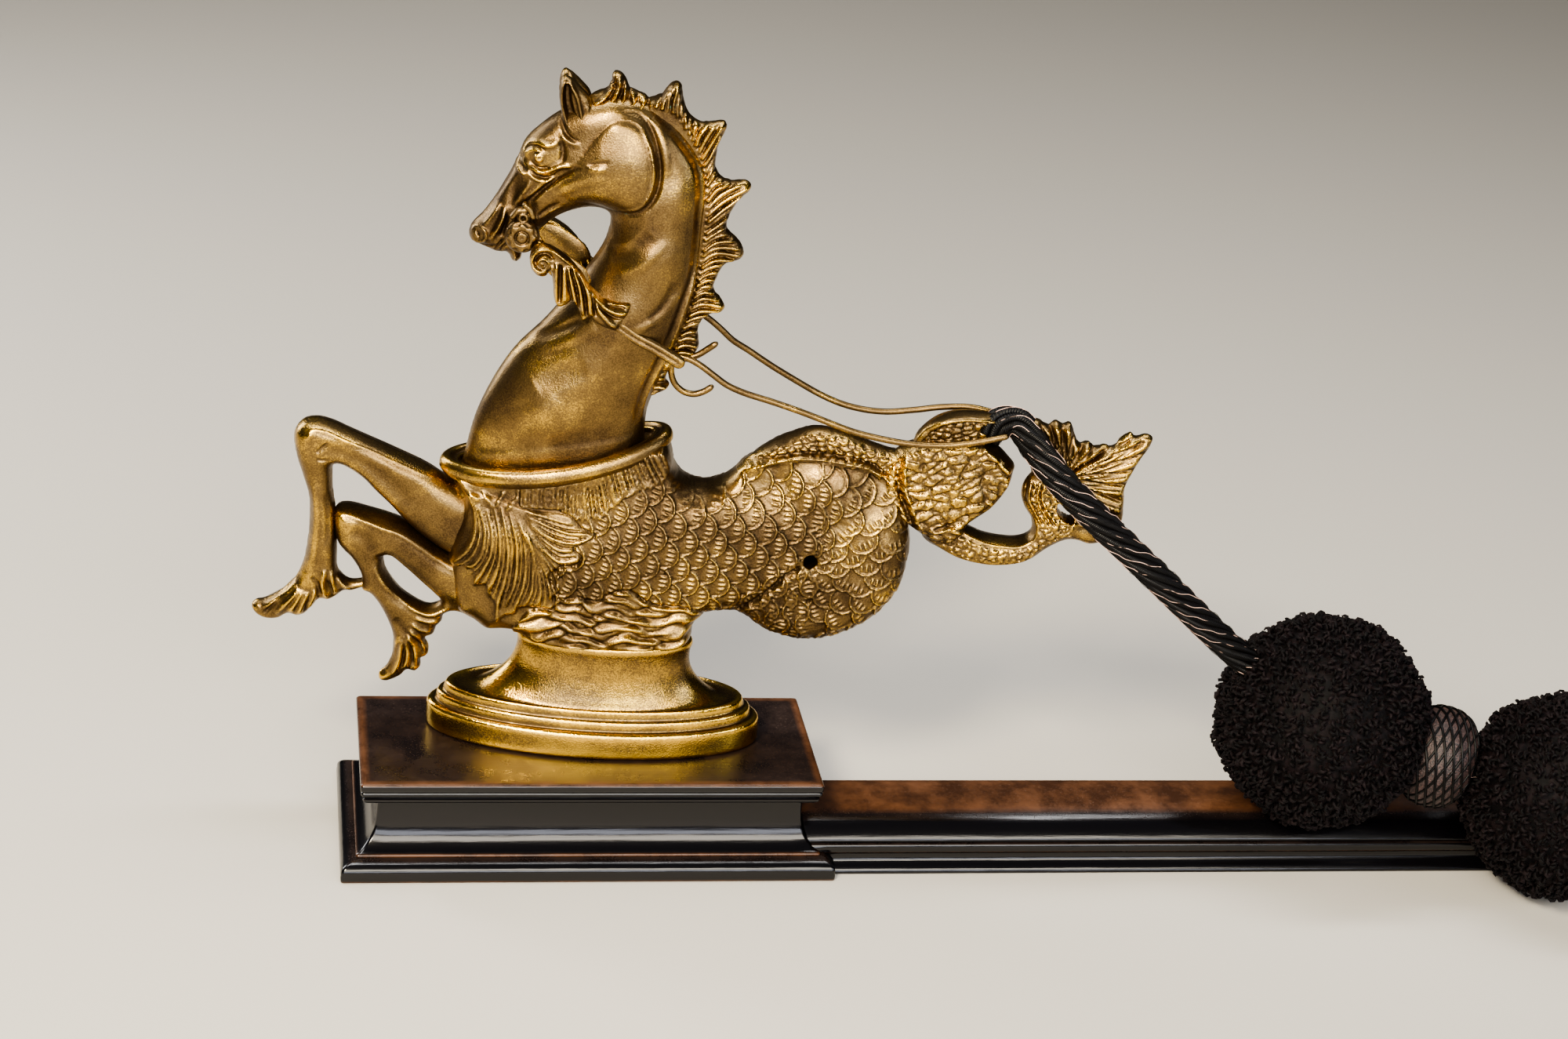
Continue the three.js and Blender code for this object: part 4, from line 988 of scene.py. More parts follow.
for number, (here, after) in enumerate(zip(MANE_FLUTES[:-1], MANE_FLUTES[1:])):
    valley = [((a[0] + b[0]) / 2, (a[1] + b[1]) / 2) for a, b in zip(here, after)]
    valley[2] = tuple(0.78 * tip + 0.22 * bend for tip, bend in zip(valley[2], valley[1]))
    stroke(mane, x, z, valley, (0.7, 0.5), -0.95 - 0.35 * math.sin(3.7 * number), taper=0.25)
for line in FORELOCK_STRANDS:
    stroke(mane, x, z, line, (1.4, 0.9), 1.7, taper=0.1)
    stroke(mane, x, z, [(px + 1.7, pz - 0.4) for px, pz in line], (0.8, 0.6), -1.4, taper=0.1)
mane = at_least(mane, depth, 0.7)
cast_piece("mane_cast", [skin(mane, x, z)], brass, ["mane", "forelock"])

# Bridle: a petalled boss at each side of the mouth, and a leaf on the cheek that scrolls at its
# top, divides into three fluted lobes and ends in a strap across the neck. All cast in relief.
BIT_CENTRE, BIT_RADIUS, KNOB_CENTRE = (-38.6, 211.4), 6.5, (-38.5, 218.7)
# How far each lies from the horse's middle plane
BOSS_ASIDE, LEAF_ASIDE, FAN_ASIDE = 10.0, 15.4, 12.5
REIN_LEAF = [
    (-35.4, 205.4), (-34.4, 209), (-31.5, 211), (-27.4, 210), (-22.8, 207), (-19, 204), (-15, 199),
    (-11, 194), (-7, 191), (-1.5, 189.8), (3, 190), (2.6, 186.5), (0.6, 182.8), (-1.5, 179), (-5.4, 179.4),
    (-9.8, 181.6), (-12, 183.4), (-14.4, 181.8), (-16.4, 186.6), (-18.8, 189.6), (-20.6, 187.8),
    (-24, 186.8), (-25.4, 191.6), (-26, 196), (-27.4, 201), (-29, 198.4), (-31.6, 198.2), (-34.4, 200.6),
]
LEAF_STROKES = [
    ([(-20, 204.5), (-25, 208.3), (-29.5, 209.8), (-33, 208.6), (-34.4, 205), (-33.4, 201.8),
      (-30.8, 200.6), (-28.6, 201.4)], 1.1, 1.4),
    ([(-26.5, 205.6), (-29, 207.6), (-32, 207), (-33.4, 204.6), (-32.8, 202.6)], 0.9, -1.6),
    ([(-27.9, 203.6), (-29, 205.4), (-31.2, 205.6), (-32.4, 204)], 0.6, 0.8),
    ([(-30.6, 202.9), (-30.2, 203.1)], 1.5, 1.8), ([(-27, 203.5), (-26.6, 196), (-26, 189)], 0.8, 1.1),
    ([(-25.2, 204.6), (-25.2, 196), (-24.9, 187.6)], 1.1, 1.5),
    ([(-24, 204), (-23.6, 196), (-23.4, 188.6)], 0.9, -1.5),
    ([(-22.4, 203), (-21.9, 196), (-21.6, 189.4)], 1.3, 1.0),
    ([(-21.6, 203), (-20.2, 196), (-18.6, 189)], 0.7, -1.2),
    ([(-21.2, 203.6), (-19.2, 196), (-16.8, 187.6)], 1.1, 1.5),
    ([(-20.2, 203), (-17.8, 196), (-15.8, 186.4)], 0.7, -1.3),
    ([(-19.4, 203.4), (-16.4, 196), (-14.4, 184.4)], 1.1, 1.4),
    ([(-18.2, 202.6), (-15, 195), (-13, 184)], 0.9, -1.5),
    ([(-17.2, 202), (-13.4, 194), (-11.4, 184.4)], 1.4, 1.4),
    ([(-14.6, 199), (-11.2, 192), (-9.6, 184.4)], 0.9, -1.4),
    ([(-12.8, 196), (-9, 188), (-5, 183), (-1.6, 180.6)], 1.6, 1.7),
    ([(-11.6, 194), (-7.4, 187.4), (-3, 184.6), (0.6, 184)], 0.7, -1.2),
    ([(-11, 193.4), (-6.6, 188.6), (-2, 186.6), (2.2, 186.4)], 1.4, 1.6),
    ([(-9.6, 192.6), (-5, 189.4), (1, 188.4)], 0.7, -1.1),
    ([(-26, 208.4), (-21, 205.2), (-17, 201), (-13, 195.6), (-9.6, 191.8), (-5, 189.8),
      (1.6, 189.2)], 0.9, 1.2),
]
REIN_STRAP = [(-3, 181.4), (0.6, 179.6), (5.5, 176.4), (12.5, 173), (18, 170), (22.4, 167.4)]
FAN = [
    (-34, 206), (-32, 209), (-25.5, 208.4), (-20, 205.4), (-14, 200.4), (-12.4, 195), (-18, 193),
    (-28, 198),
]

# The two curls over the boss. Columns: line, half width
BOSS_CURLS = [
    ([(-42.4, 218.8), (-40.4, 221.2), (-38, 221.4)], 1.2),
    ([(-38, 223.4), (-36.2, 221.8), (-35, 219.2)], 1.3),
]
x, z = plane((-47, 203), (-30, 226), cell=0.35)
from_middle = np.hypot(x - BIT_CENTRE[0], z - BIT_CENTRE[1])
petals = np.cos(8 * np.arctan2(z - BIT_CENTRE[1], x - BIT_CENTRE[0]))
BOSS_EDGE, BOSS_THICKNESS, PETAL_RISE, PETAL_REACH = 1.2, 2.3, 0.9, 5.2
boss = dome(BIT_RADIUS - from_middle, BOSS_EDGE, BOSS_THICKNESS)
boss += PETAL_RISE * np.clip((PETAL_REACH + 0.45 * petals - from_middle) / 0.5, 0, 1)
for reach, width, height in ((2.4, 0.42, -0.9), (0.0, 0.5, -0.2)):
    boss += height * np.exp(-((from_middle - reach) / width) ** 2) * (from_middle < BIT_RADIUS)
knob_apart = np.hypot(x - KNOB_CENTRE[0], z - KNOB_CENTRE[1])
KNOB_RADIUS, KNOB_EDGE, KNOB_THICKNESS, KNOB_HOLLOW = 2.5, 1.6, 2.6, 1.8
knob = dome(KNOB_RADIUS - knob_apart, KNOB_EDGE, KNOB_THICKNESS)
boss = np.maximum(boss, knob - KNOB_HOLLOW * np.exp(-(knob_apart / 0.9) ** 2))
for line, width in BOSS_CURLS:
    apart, _ = distance(x, z, smooth_line(line, 0.8))
    boss = np.maximum(boss, dome(width - apart, 1.1, 2.0))
for side, sign in (("near", -1), ("far", 1)):
    cast_piece(f"bit_boss_{side}_cast", [skin(boss, x, z, sign * BOSS_ASIDE)], brass, [f"bit_boss_{side}"])

x, z = plane((-39, 163), (27, 214), cell=0.45)
leaf_depth = inside(x, z, REIN_LEAF, 0.8)
LEAF_EDGE, LEAF_THICKNESS, LEAF_RANGE = 2.4, 2.6, (0.7, 5)
leaf = dome(leaf_depth, LEAF_EDGE, LEAF_THICKNESS)
for line, width, height in LEAF_STROKES:
    stroke(leaf, x, z, line, 1.15 * width, height, taper=0.12)
leaf = np.where(leaf_depth > 0, np.clip(leaf, *LEAF_RANGE), leaf)
apart, _ = distance(x, z, smooth_line(REIN_STRAP, 1.0))
STRAP_REACH, STRAP_EDGE, STRAP_THICKNESS = 2.5, 1.6, 1.8
strap = dome(STRAP_REACH - apart, STRAP_EDGE, STRAP_THICKNESS)
stroke(strap, x, z, REIN_STRAP, 0.7, -0.5, taper=0.05)
leaf = np.maximum(leaf, strap)
FAN_EDGE, FAN_THICKNESS = 6.0, 1.3
fan = dome(inside(x, z, FAN, 0.8), FAN_EDGE, FAN_THICKNESS)
for side, sign in (("near", -1), ("far", 1)):
    skins = [skin(leaf, x, z, sign * LEAF_ASIDE), skin(fan, x, z, sign * FAN_ASIDE)]
    cast_piece(f"rein_leaf_{side}_cast", skins, brass, [f"rein_leaf_{side}", f"rein_strap_{side}"])

# Reins: two lengths of 2.5 mm brass wire, bent by hand from the end of the mane to the tail, with
# a hook twisted from the same wire between them. Their ends are cut and rounded with a file.
WIRE_RADIUS, WIRE_SIDES = 1.25, 12
REINS = {
    "rein_wire_near": [
        (19, -4, 166), (21, -6, 166.2), (26.5, -7.5, 165.6), (31, -8, 163.6), (36, -8.4, 160.4),
        (41.5, -8.6, 156.8), (48, -8.8, 154.2), (59.5, -8.8, 151), (78, -8.8, 145.2), (96, -8.8, 139.8),
        (112, -8.6, 137.2), (127, -8.4, 137.4), (140, -8, 139.6), (151.4, -7.8, 142.4),
    ],
    "rein_wire_far": [
        (24, 5, 181.4), (28, 5.6, 180.4), (33.5, 6.4, 177), (38.5, 7, 173), (43.5, 7.6, 168.6),
        (49.5, 8, 165), (62, 8.4, 157.2), (79, 8.4, 148.2), (92, 8.4, 144), (104, 8.4, 142.6),
        (116, 8.4, 144.2), (127, 8.2, 146.4), (138, 8, 147.2), (150, 8, 144.6),
    ],
    "hook_wire": [
        (19.4, 0, 166), (20.4, 0, 161), (20.6, 0, 156.4), (22.4, 0, 152), (26, 0, 149.2), (30, 0, 148.6),
        (34, 0, 150.2), (37, 0, 152.6),
    ],
}
STUB = [(24, -3, 163.4), (29.5, -3.4, 165.6), (34, -3.6, 169), (37, -3.8, 171.6)]


def wire(line):
    """A round wire with filed ends along a line."""
    line = smooth_line(line, 0.9)
    radius = np.full(len(line), WIRE_RADIUS)
    radius[[0, -1]] *= 0.45
    radius[[1, -2]] *= 0.9
    line[:, 1] += 0.12 * np.sin(np.arange(len(line)) * 0.21)
    line[:, 2] += 0.15 * np.sin(np.arange(len(line)) * 0.13)
    rings = tube(line, radius, WIRE_SIDES)
    faces = ring_faces(len(rings), WIRE_SIDES)
    caps = [(face[0], b, c) for face in faces[-2:] for b, c in zip(face[1:], face[2:])]
    return rings.reshape(-1, 3), faces[:-2] + caps


for name, route in REINS.items():
    lines = [route, STUB] if name == "rein_wire_near" else [route]
    points, faces = [], []
    for line in lines:
        shift = sum(len(p) for p in points)
        ring_points, ring_sides = wire(line)
        faces += [tuple(index + shift for index in face) for face in ring_sides]
        points.append(ring_points)
    mesh = bpy.data.meshes.new(name)
    mesh.from_pydata(placed(np.vstack(points)), [], faces)
    outward(mesh)
    mesh.shade_smooth()
    mesh.materials.append(brass)
    piece = new_object(f"{name}_bent", mesh)
    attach(piece, "root")
    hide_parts(name)

# Body: the chest, the scaled flank and the bed of waves, one casting hollow behind, with the relief
# chased deep: an acanthus leaf over the shoulder, a frill of feathers, and rows of fish scales that
# run to the tail and wind clockwise round the hole for the rail's bolt.
BODY = [
    (-60.4, 111), (-57.5, 106), (-57, 97), (-59, 88), (-60.5, 80), (-60, 70), (-59, 60), (-56, 52.5),
    (-50, 49), (-44.5, 45.5), (-38, 46), (-31, 45.5), (-27, 43.5), (-18, 42.8), (-6, 42.6), (8, 42.6),
    (22, 42.8), (33, 44), (36.5, 48), (36.6, 53), (40.5, 57.6), (46, 59.4), (54, 59), (64, 52.5),
    (76.5, 48.6), (91.5, 50), (106, 58.5), (113, 66.5), (117, 74), (118.6, 84), (119, 92), (117.5, 101),
    (115.5, 110), (113, 120), (113.5, 129.5), (107, 131), (99, 133.4), (88, 137), (77.5, 138.2), (69, 135),
    (61, 130.4), (53, 124), (46.5, 116.6), (40.5, 112.6), (33, 112), (28.5, 114.5), (24.6, 119.5),
    (23, 126), (20, 130.5), (16, 130), (8, 127.6), (-1, 123), (-11, 119.4), (-21, 117), (-30, 115.4),
    (-40, 114.6), (-50, 114), (-61, 113.4),
]
BODY_THICKNESS = [
    (-50, 100, 13.5), (-36, 92, 17.5), (-32, 72, 16.5), (-48, 62, 13), (-30, 52, 14.5), (-10, 90, 17.5),
    (8, 85, 17.5), (-46, 110, 12.5), (24, 85, 16.5), (38, 84, 15.5), (52, 85, 14), (68, 85, 12.8),
    (84, 85, 12), (104, 84, 10.5), (0, 112, 14.8), (-25, 110, 14.6), (16, 121, 11.5), (-4, 103, 16),
    (-25, 102, 16), (60, 126, 5.5), (80, 134, 3.8), (104, 128, 4.2), (84, 112, 10.5), (0, 52, 15.5),
    (26, 52, 14), (84, 58, 10), (60, 62, 11),
]
BODY_ROUNDING = [
    (-58, 95, 12), (-50, 60, 12), (-36, 48, 9), (0, 44, 2.4), (-20, 44, 2.4), (24, 44, 2.6), (32, 48, 5),
    (46, 62, 11), (64, 56, 12), (92, 54, 12), (114, 74, 12), (119, 90, 12), (80, 136, 3), (108, 128, 3.5),
    (50, 120, 5), (36, 112, 9), (64, 130, 3), (20, 130, 3), (8, 127, 2.5), (-10, 120, 2.5), (-30, 116, 2.5),
    (-50, 115, 2.5), (-20, 108, 5),
]
ACANTHUS = [
    (-56, 108), (-54.5, 99.5), (-56.5, 91), (-61, 84.5), (-60, 79), (-62, 73.5), (-57, 74.2), (-54.5, 76),
    (-50.4, 75), (-50, 68), (-45.5, 69), (-44.5, 64.5), (-41.6, 61.5), (-40.8, 52.5), (-36.5, 56.6),
    (-33.5, 57), (-31, 60.5), (-25, 61), (-18, 60.5), (-19.5, 65.5), (-16.5, 69), (-21, 75), (-17.5, 79.4),
    (-10.6, 81.5), (-8.6, 85), (-12, 88.6), (-9.5, 90.4), (-4, 94.4), (-11, 98.4), (-14, 102), (-30, 103.6),
    (-42, 106.5),
]
# Columns: line from the root to the tip, half width, height. The leaf's folds, left to right
LEAF_FOLDS = [
    ([(-54, 107.5), (-50.5, 100), (-50.5, 91), (-53, 84), (-57.5, 78), (-61, 73.8)], 2.3, 2.1),
    ([(-49.5, 103.5), (-46.4, 94), (-46.6, 85), (-49.4, 79), (-54, 75.8)], 2.1, 1.9),
    ([(-46.4, 102), (-43.6, 93), (-43.4, 85), (-46, 77.4), (-49.4, 69.5)], 2.0, 2.0),
    ([(-43.6, 103.6), (-40.8, 93.5), (-40, 84), (-41.6, 74.6), (-44.6, 65.6)], 2.0, 1.9),
    ([(-41, 103.6), (-37.8, 92.5), (-36.8, 82.5), (-38, 71.5), (-40.2, 62), (-40.4, 53.6)], 2.3, 2.4),
    ([(-37.6, 102), (-34.4, 92.5), (-33.4, 82.5), (-34, 71.5), (-37.4, 60.5)], 1.9, 1.9),
    ([(-35, 101), (-31.4, 92), (-30, 82.5), (-30.4, 71.5), (-34, 58.5)], 1.9, 1.8),
    ([(-33, 99), (-28.6, 88), (-27, 78), (-27.4, 68), (-30.5, 61)], 1.9, 1.7),
    ([(-31.6, 96), (-26.8, 84), (-24.6, 75), (-23.8, 67.5), (-25, 62)], 1.9, 1.8),
    ([(-31, 95), (-25.4, 84.4), (-21.6, 76), (-20, 69), (-19, 61.8)], 1.8, 1.7),
    ([(-30.6, 95), (-25, 86.4), (-20.6, 80), (-18, 74.5), (-17, 70)], 1.7, 1.6),
    ([(-30, 96.4), (-24, 88), (-17.4, 82.8), (-10, 84.2)], 1.8, 2.0),
    ([(-29.6, 98), (-24, 91.6), (-17.6, 87.6), (-12.4, 88)], 1.6, 1.5),
    ([(-30, 99.4), (-23.6, 93.8), (-17.4, 91.2), (-10, 91.6), (-5, 94.2)], 1.9, 2.0),
    ([(-31, 101), (-23, 97.4), (-15, 95), (-7, 94.8)], 1.7, 1.6),
    ([(-31, 102.6), (-22, 100.4), (-13.6, 98.6)], 1.7, 1.6),
    ([(-56, 110), (-52.6, 107.6), (-49.4, 104.6)], 1.5, 1.4),
    ([(-48.4, 108.6), (-46, 105.6), (-43.8, 102.6)], 1.6, 1.5),
    ([(-40, 109), (-41.4, 106), (-43, 103)], 1.6, 1.6),
    ([(-34.6, 107.4), (-36.8, 104.6), (-39, 102)], 1.6, 1.4),
]
WAVE_CRESTS = [
    ([(-28.5, 45.4), (-20, 44.4), (-8, 44.4), (6, 45), (20, 45.4), (34, 47)], 1.5, 0.9),
    ([(-29.5, 48.6), (-20.5, 48.4), (-14, 51.8), (-9, 53.4), (-3.5, 51), (3.5, 48.8), (11.5, 49.8),
      (19.5, 48.6), (26, 50.4), (35, 51.6)], 1.9, 2.0),
    ([(-29, 51.8), (-22, 52.2), (-15.5, 56.4), (-10, 58.4), (-4.5, 56.4), (0, 53.6), (7, 55.4), (14, 54.4),
      (20.5, 53.6), (30, 54.6)], 1.9, 2.2),
    ([(-33, 54.8), (-25, 57.6), (-18.5, 61.4), (-15, 65.6), (-8, 65.6), (-4, 62.4), (2.5, 60.8),
      (9.5, 59.4), (16.5, 57.4), (25, 57.6), (32, 59.6)], 2.0, 2.4),
    ([(-13.4, 61.6), (-10, 62.6), (-6.6, 60.4), (-1, 58.6), (4, 58)], 1.4, 1.5),
    ([(-2, 66), (5, 66.4), (12, 63.6), (18.5, 61), (26, 61.6)], 1.9, 2.2),
    ([(2, 70), (9, 69.6), (15, 67), (20, 64.6), (30, 64)], 1.5, 1.6),
    ([(-12.6, 65.2), (-9.4, 66.6), (-6.8, 64.6), (-8.6, 63.2)], 1.2, 1.4),
    ([(18, 51.6), (24, 53), (30, 52)], 1.1, 1.0),
    ([(-24, 46.4), (-14, 46.8), (-6, 49), (2, 46.8), (12, 47)], 1.0, 1.0),
]
WAVE_TOP = [
    (-34, 50), (-28, 60), (-18.5, 61.5), (-15.5, 65), (-12, 66.6), (-6, 66.4), (-1.5, 66), (1, 67.6),
    (4, 70.5), (8, 71.5), (11.5, 70.5), (15, 68.5), (20, 65.5), (33, 64.5), (40, 60), (44, 52), (48, 40),
]
BAND_LINE = [
    (43.5, 117.6), (46.5, 119.6), (49.5, 120.8), (55, 122.7), (60.5, 125), (66, 126.6), (72, 127.6),
    (80.5, 127.6), (89, 127), (95, 126), (101, 124), (107, 120), (111.5, 114.8), (114.6, 110), (117, 102),
]
HOLE, HOLE_RADIUS = (79.6, 86.5), 2.3
SPLIT = [(76.4, 84.6), (70, 79.2), (64, 72.4), (57.5, 66.4), (53, 62.5)]
SCALE, SCALE_RISE, SCALE_LIP, SCALE_RIB, RIB_PITCH = 12.0, 2.15, 0.4, 0.55, 1.95


def scales(x, z, places):
    """Fish scales that overlap: each rises to its round free edge, with a thin lip there, a groove
    inside the lip and short ribs toward it. Columns: x, z of its middle, the direction of its free
    edge in degrees, its size, and how far its ribs are cut, from 0 to 1"""
    top = np.zeros(x.shape)
    for cx, cz, heading, size, ribbed in places:
        columns = np.nonzero(np.abs(x[:, 0] - cx) < 0.9 * size)[0]
        rows = np.nonzero(np.abs(z[0] - cz) < 0.9 * size)[0]
        if not len(columns) or not len(rows):
            continue
        patch = np.s_[columns[0]:columns[-1] + 1, rows[0]:rows[-1] + 1]
        turn = math.radians(heading)
        ahead = (x[patch] - cx) * math.cos(turn) + (z[patch] - cz) * math.sin(turn)
        aside = (z[patch] - cz) * math.cos(turn) - (x[patch] - cx) * math.sin(turn)
        half = size * 0.53
        reach = np.where(ahead > 0, np.hypot(ahead, aside), np.abs(aside))
        rise = SCALE_RISE * np.clip((ahead + 0.75 * size) / (0.75 * size + half), 0, 1) ** 1.3
        lip = SCALE_LIP * np.exp(-((reach - half + 0.5) / 0.38) ** 2)
        groove = 0.5 * np.exp(-((reach - half + 1.45) / 0.4) ** 2)
        ribs = SCALE_RIB * ribbed * np.cos(2 * math.pi * aside / RIB_PITCH)
        ribs *= np.clip((ahead - 0.18 * half) / 0.8, 0, 1)
        ribs *= np.clip((half - 1.8 - reach) / 0.4, 0, 1)
        edge = np.clip((half - reach) / 0.4, 0, 1) * (ahead > -0.75 * size)
        top[patch] = np.maximum(top[patch], (rise + (lip - groove + ribs) * (ahead > -1.5)) * edge)
    return top


def pebbles(x, z, length, width, heading, seed):
    """The hammered ground between ornaments: rounded lumps of one length and width, packed close."""
    turn = math.radians(heading)
    along = (x * math.cos(turn) + z * math.sin(turn)) / length
    across = (z * math.cos(turn) - x * math.sin(turn)) / width
    cell_a, cell_b = np.floor(along), np.floor(across)
    first, second = np.full(x.shape, 9.0), np.full(x.shape, 9.0)
    for i in (-1, 0, 1):
        for j in (-1, 0, 1):
            a, b = cell_a + i, cell_b + j
            mix = np.sin(a * 127.1 + b * 311.7 + seed * 17.3) * 43758.5453
            mix_b = np.sin(a * 269.5 + b * 183.3 + seed * 9.1) * 24634.6345
            apart = np.hypot(along - a - 0.5 - 0.38 * np.sin(mix), across - b - 0.5 - 0.38 * np.sin(mix_b))
            second = np.minimum(second, np.maximum(first, apart))
            first = np.minimum(first, apart)
    return np.clip((second - first) * 2.2, 0, 1) ** 0.6


x, z = plane((-66, 40), (123, 141), cell=0.55)
depth = inside(x, z, BODY)
body = dome(depth, spread(x, z, BODY_ROUNDING, 10), spread(x, z, BODY_THICKNESS, 9))
relief = np.zeros(x.shape)
wave_reach = np.interp(x, *np.array(WAVE_TOP).T)
leaf_depth = inside(x, z, ACANTHUS, 1.0)
band_z = np.interp(x, *np.array(BAND_LINE).T)


def drift(number):
    """A small shift that looks like a hand's, between -1 and 1, the same for the same number."""
    return math.sin(number * 12.9898) * math.cos(number * 4.1414)


# The trunk's rows bend round a middle high over the back and then run level to the hole. Every
# other row is shifted by half a scale. Rings of scales wind clockwise round the hole from there,
# and each scale points along its row or ring.
ROW, PITCH, BEND, BEND_LINE = 5.9, 11.6, (36.0, 215.0), -0.2
places = []
for j in range(14):
    reach = 92 + ROW * j
    for k in range(-8, 12):
        number = 31 * k + 17 * j
        along = BEND_LINE * reach + PITCH * (k + 0.5 * (j % 2)) + 0.35 * drift(number)
        turn = min(along / reach, 0)
        cx = BEND[0] + (reach * math.sin(turn) if along < 0 else along)
        cz = BEND[1] - reach * math.cos(turn) + 0.35 * drift(number + 3)
        if turn > -0.8 and cx < HOLE[0] - 1:
            heading = math.degrees(turn) + 5 * drift(number + 7)
            places.append((cx, cz, heading, SCALE * (1 + 0.04 * drift(number + 5)), 1))
# Columns: the ring's reach from the hole, its number of scales from the back to the belly's split,
# and their size as a share
RINGS = [
    (5.8, 5, 0.76), (10.8, 6, 0.9), (16.4, 6, 1), (22.2, 9, 1), (28, 9, 1), (33.8, 11, 1), (39.6, 11, 1),
]
for ring, (reach, count, share) in enumerate(RINGS):
    for k in range(count + 1):
        turn = math.radians(90 - 225 * (k + 0.5 * (ring % 2)) / count)
        if turn > math.radians(-139):
            cx, cz = HOLE[0] + reach * math.cos(turn), HOLE[1] + reach * math.sin(turn)
            heading = math.degrees(turn) - 90 + 5 * drift(53 * ring + 11 * k)
            places.append((cx, cz, heading, SCALE * share, 1))
below_band = np.interp([p[0] for p in places], *np.array(BAND_LINE).T) - np.array([p[1] for p in places])
places = [(*p[:4], 0.15 if 40 < p[0] < 104 and gap < 9 else 1) for p, gap in zip(places, below_band)]
flank = scales(x, z, places)
# The frill of feathers under the collar: a raised band whose barbs lean more toward the withers
FRILL_LOW = [
    (-37, 104), (-29, 102.5), (-20, 101.5), (-13.5, 101), (-8, 100.5), (-4, 101), (-0.5, 103), (1.5, 106),
    (4, 108.5), (6, 110.6), (9.5, 112.3), (16, 114), (18.5, 115), (21.5, 119), (25, 123),
]
frill_low = np.interp(x, *np.array(FRILL_LOW).T)
relief = np.where(z > wave_reach, flank, 0)
over_frill = z - frill_low - 0.6 * np.cos(2 * math.pi * x / 6.1) - 0.5 * np.sin(x * 2.7)
frill_depth = np.clip(over_frill / 0.9, 0, 1) * ((x > -36.6) & (x < 26))
relief = relief * (1 - frill_depth) + (1.5 + 0.5 * pebbles(x, z, 2.6, 1.5, 80, 5)) * frill_depth
# The back, hammered rough, over the line of the band and up to a smooth bead at its top
hammered = 0.1 + 1.5 * pebbles(x + 0.8 * np.sin(z / 2.1), z, 3.6, 1.9, 8, 3)
hammered += 0.5 * pebbles(x, z, 1.9, 1.3, 60, 8)
on_back = (z > band_z) & (x > 42) & (x < 118)
relief = np.where(on_back, np.where(depth > 0.9, hammered, 0.9), relief)
under_band = (z <= band_z) & (x > 48) & (x < 104) & (band_z - z < 1.8)
relief = np.where(under_band, np.maximum(relief, 2.0), relief)
# The leaf lies over the scales and the shoulder
ground = np.where(leaf_depth > 0, np.clip(leaf_depth / 1.2, 0, 1) * 1.3, 0)
relief = np.where(leaf_depth > 0, ground, np.where((x < -18) & (z < 104) & (relief > 0.01), 0.2, relief))
# The bed of waves is soft lumps that lie along the swell, with the crests over them
flow = z + 1.5 * np.sin(x / 4.3 + z / 6) + 0.7 * np.sin(x / 2.1 - z / 2.7)
swell = (0.5 + 0.5 * np.cos(2 * math.pi * flow / 4.8)) ** 0.7
in_waves = (z < wave_reach) & (leaf_depth < 0) & (x > -34)
smooth_shoulder = (x < -34) | ((z < wave_reach) & (leaf_depth < 0))
relief = np.where(smooth_shoulder & (leaf_depth < 0), 0, relief)
relief = np.where(in_waves, 0.4 + 1.5 * swell, relief)
around_hole = np.clip((np.hypot(x - HOLE[0], z - HOLE[1]) - 2.8) / 1.2, 0, 1)
relief = relief * around_hole + 1.1 * (1 - around_hole)
body = body + relief
for line, width, height in LEAF_FOLDS:
    stroke(body, x, z, line, width * 0.7, height * 0.53, taper=0.12)


def evened(line, count):
    """A line of this many points that runs through the given points at even steps."""
    line = np.array(line)
    given, wanted = np.linspace(0, 1, len(line)), np.linspace(0, 1, count)
    return np.stack([np.interp(wanted, given, line[:, k]) for k in (0, 1)], axis=1)


# A lower fold between each and the next, with a sharp groove at each side of it
for (here, _, _), (after, _, _) in zip(LEAF_FOLDS[:15], LEAF_FOLDS[1:16]):
    left, right = evened(here, 8), evened(after, 8)
    stroke(body, x, z, (left + right) / 2, (0.8, 0.6), 0.7, taper=0.25)
    stroke(body, x, z, 0.72 * left + 0.28 * right, (0.5, 0.4), -0.75, taper=0.1)
    stroke(body, x, z, 0.28 * left + 0.72 * right, (0.5, 0.4), -0.55, taper=0.2)
for line, width, height in WAVE_CRESTS:
    stroke(body, x, z, line, (width * 1.2, width * 0.95), height * 0.38, taper=0.25)
    stroke(body, x, z, [(px, pz - 1.9) for px, pz in line], 0.6, -0.6, taper=0.15)
for number, foot_x in enumerate(np.arange(-35.5, 24.5, 1.55)):
    foot_x += 0.35 * drift(number)
    lean = 0.06 + 0.5 * np.clip((foot_x + 14) / 34, 0, 1)
    low = np.interp(foot_x, *np.array(FRILL_LOW).T) + 0.6 + 1.2 * abs(drift(number + 9))
    bend = foot_x - 5.5 * lean + 0.4 * drift(number + 2)
    barb = [(foot_x, low), (bend, low + 5.5), (foot_x - 12 * lean, low + 12.5)]
    cut = -(0.45 + 0.5 * np.clip((foot_x + 22) / 16, 0, 1)) * (0.7 + 0.8 * abs(drift(number + 6)))
    stroke(body, x, z, barb, (0.6 + 0.25 * abs(drift(number + 4)), 0.5), cut, taper=0.2)
stroke(body, x, z, WAVE_TOP[1:-1], 1.3, -1.2, taper=0.1)
stroke(body, x, z, [(px, pz + 1.9) for px, pz in BAND_LINE], 1.0, -1.4, taper=0.05)
stroke(body, x, z, BAND_LINE, 0.8, 1.2, taper=0.05)
stroke(body, x, z, SPLIT, (1.5, 2.0), -1.8, taper=0.05)
from_hole = np.hypot(x - HOLE[0], z - HOLE[1])
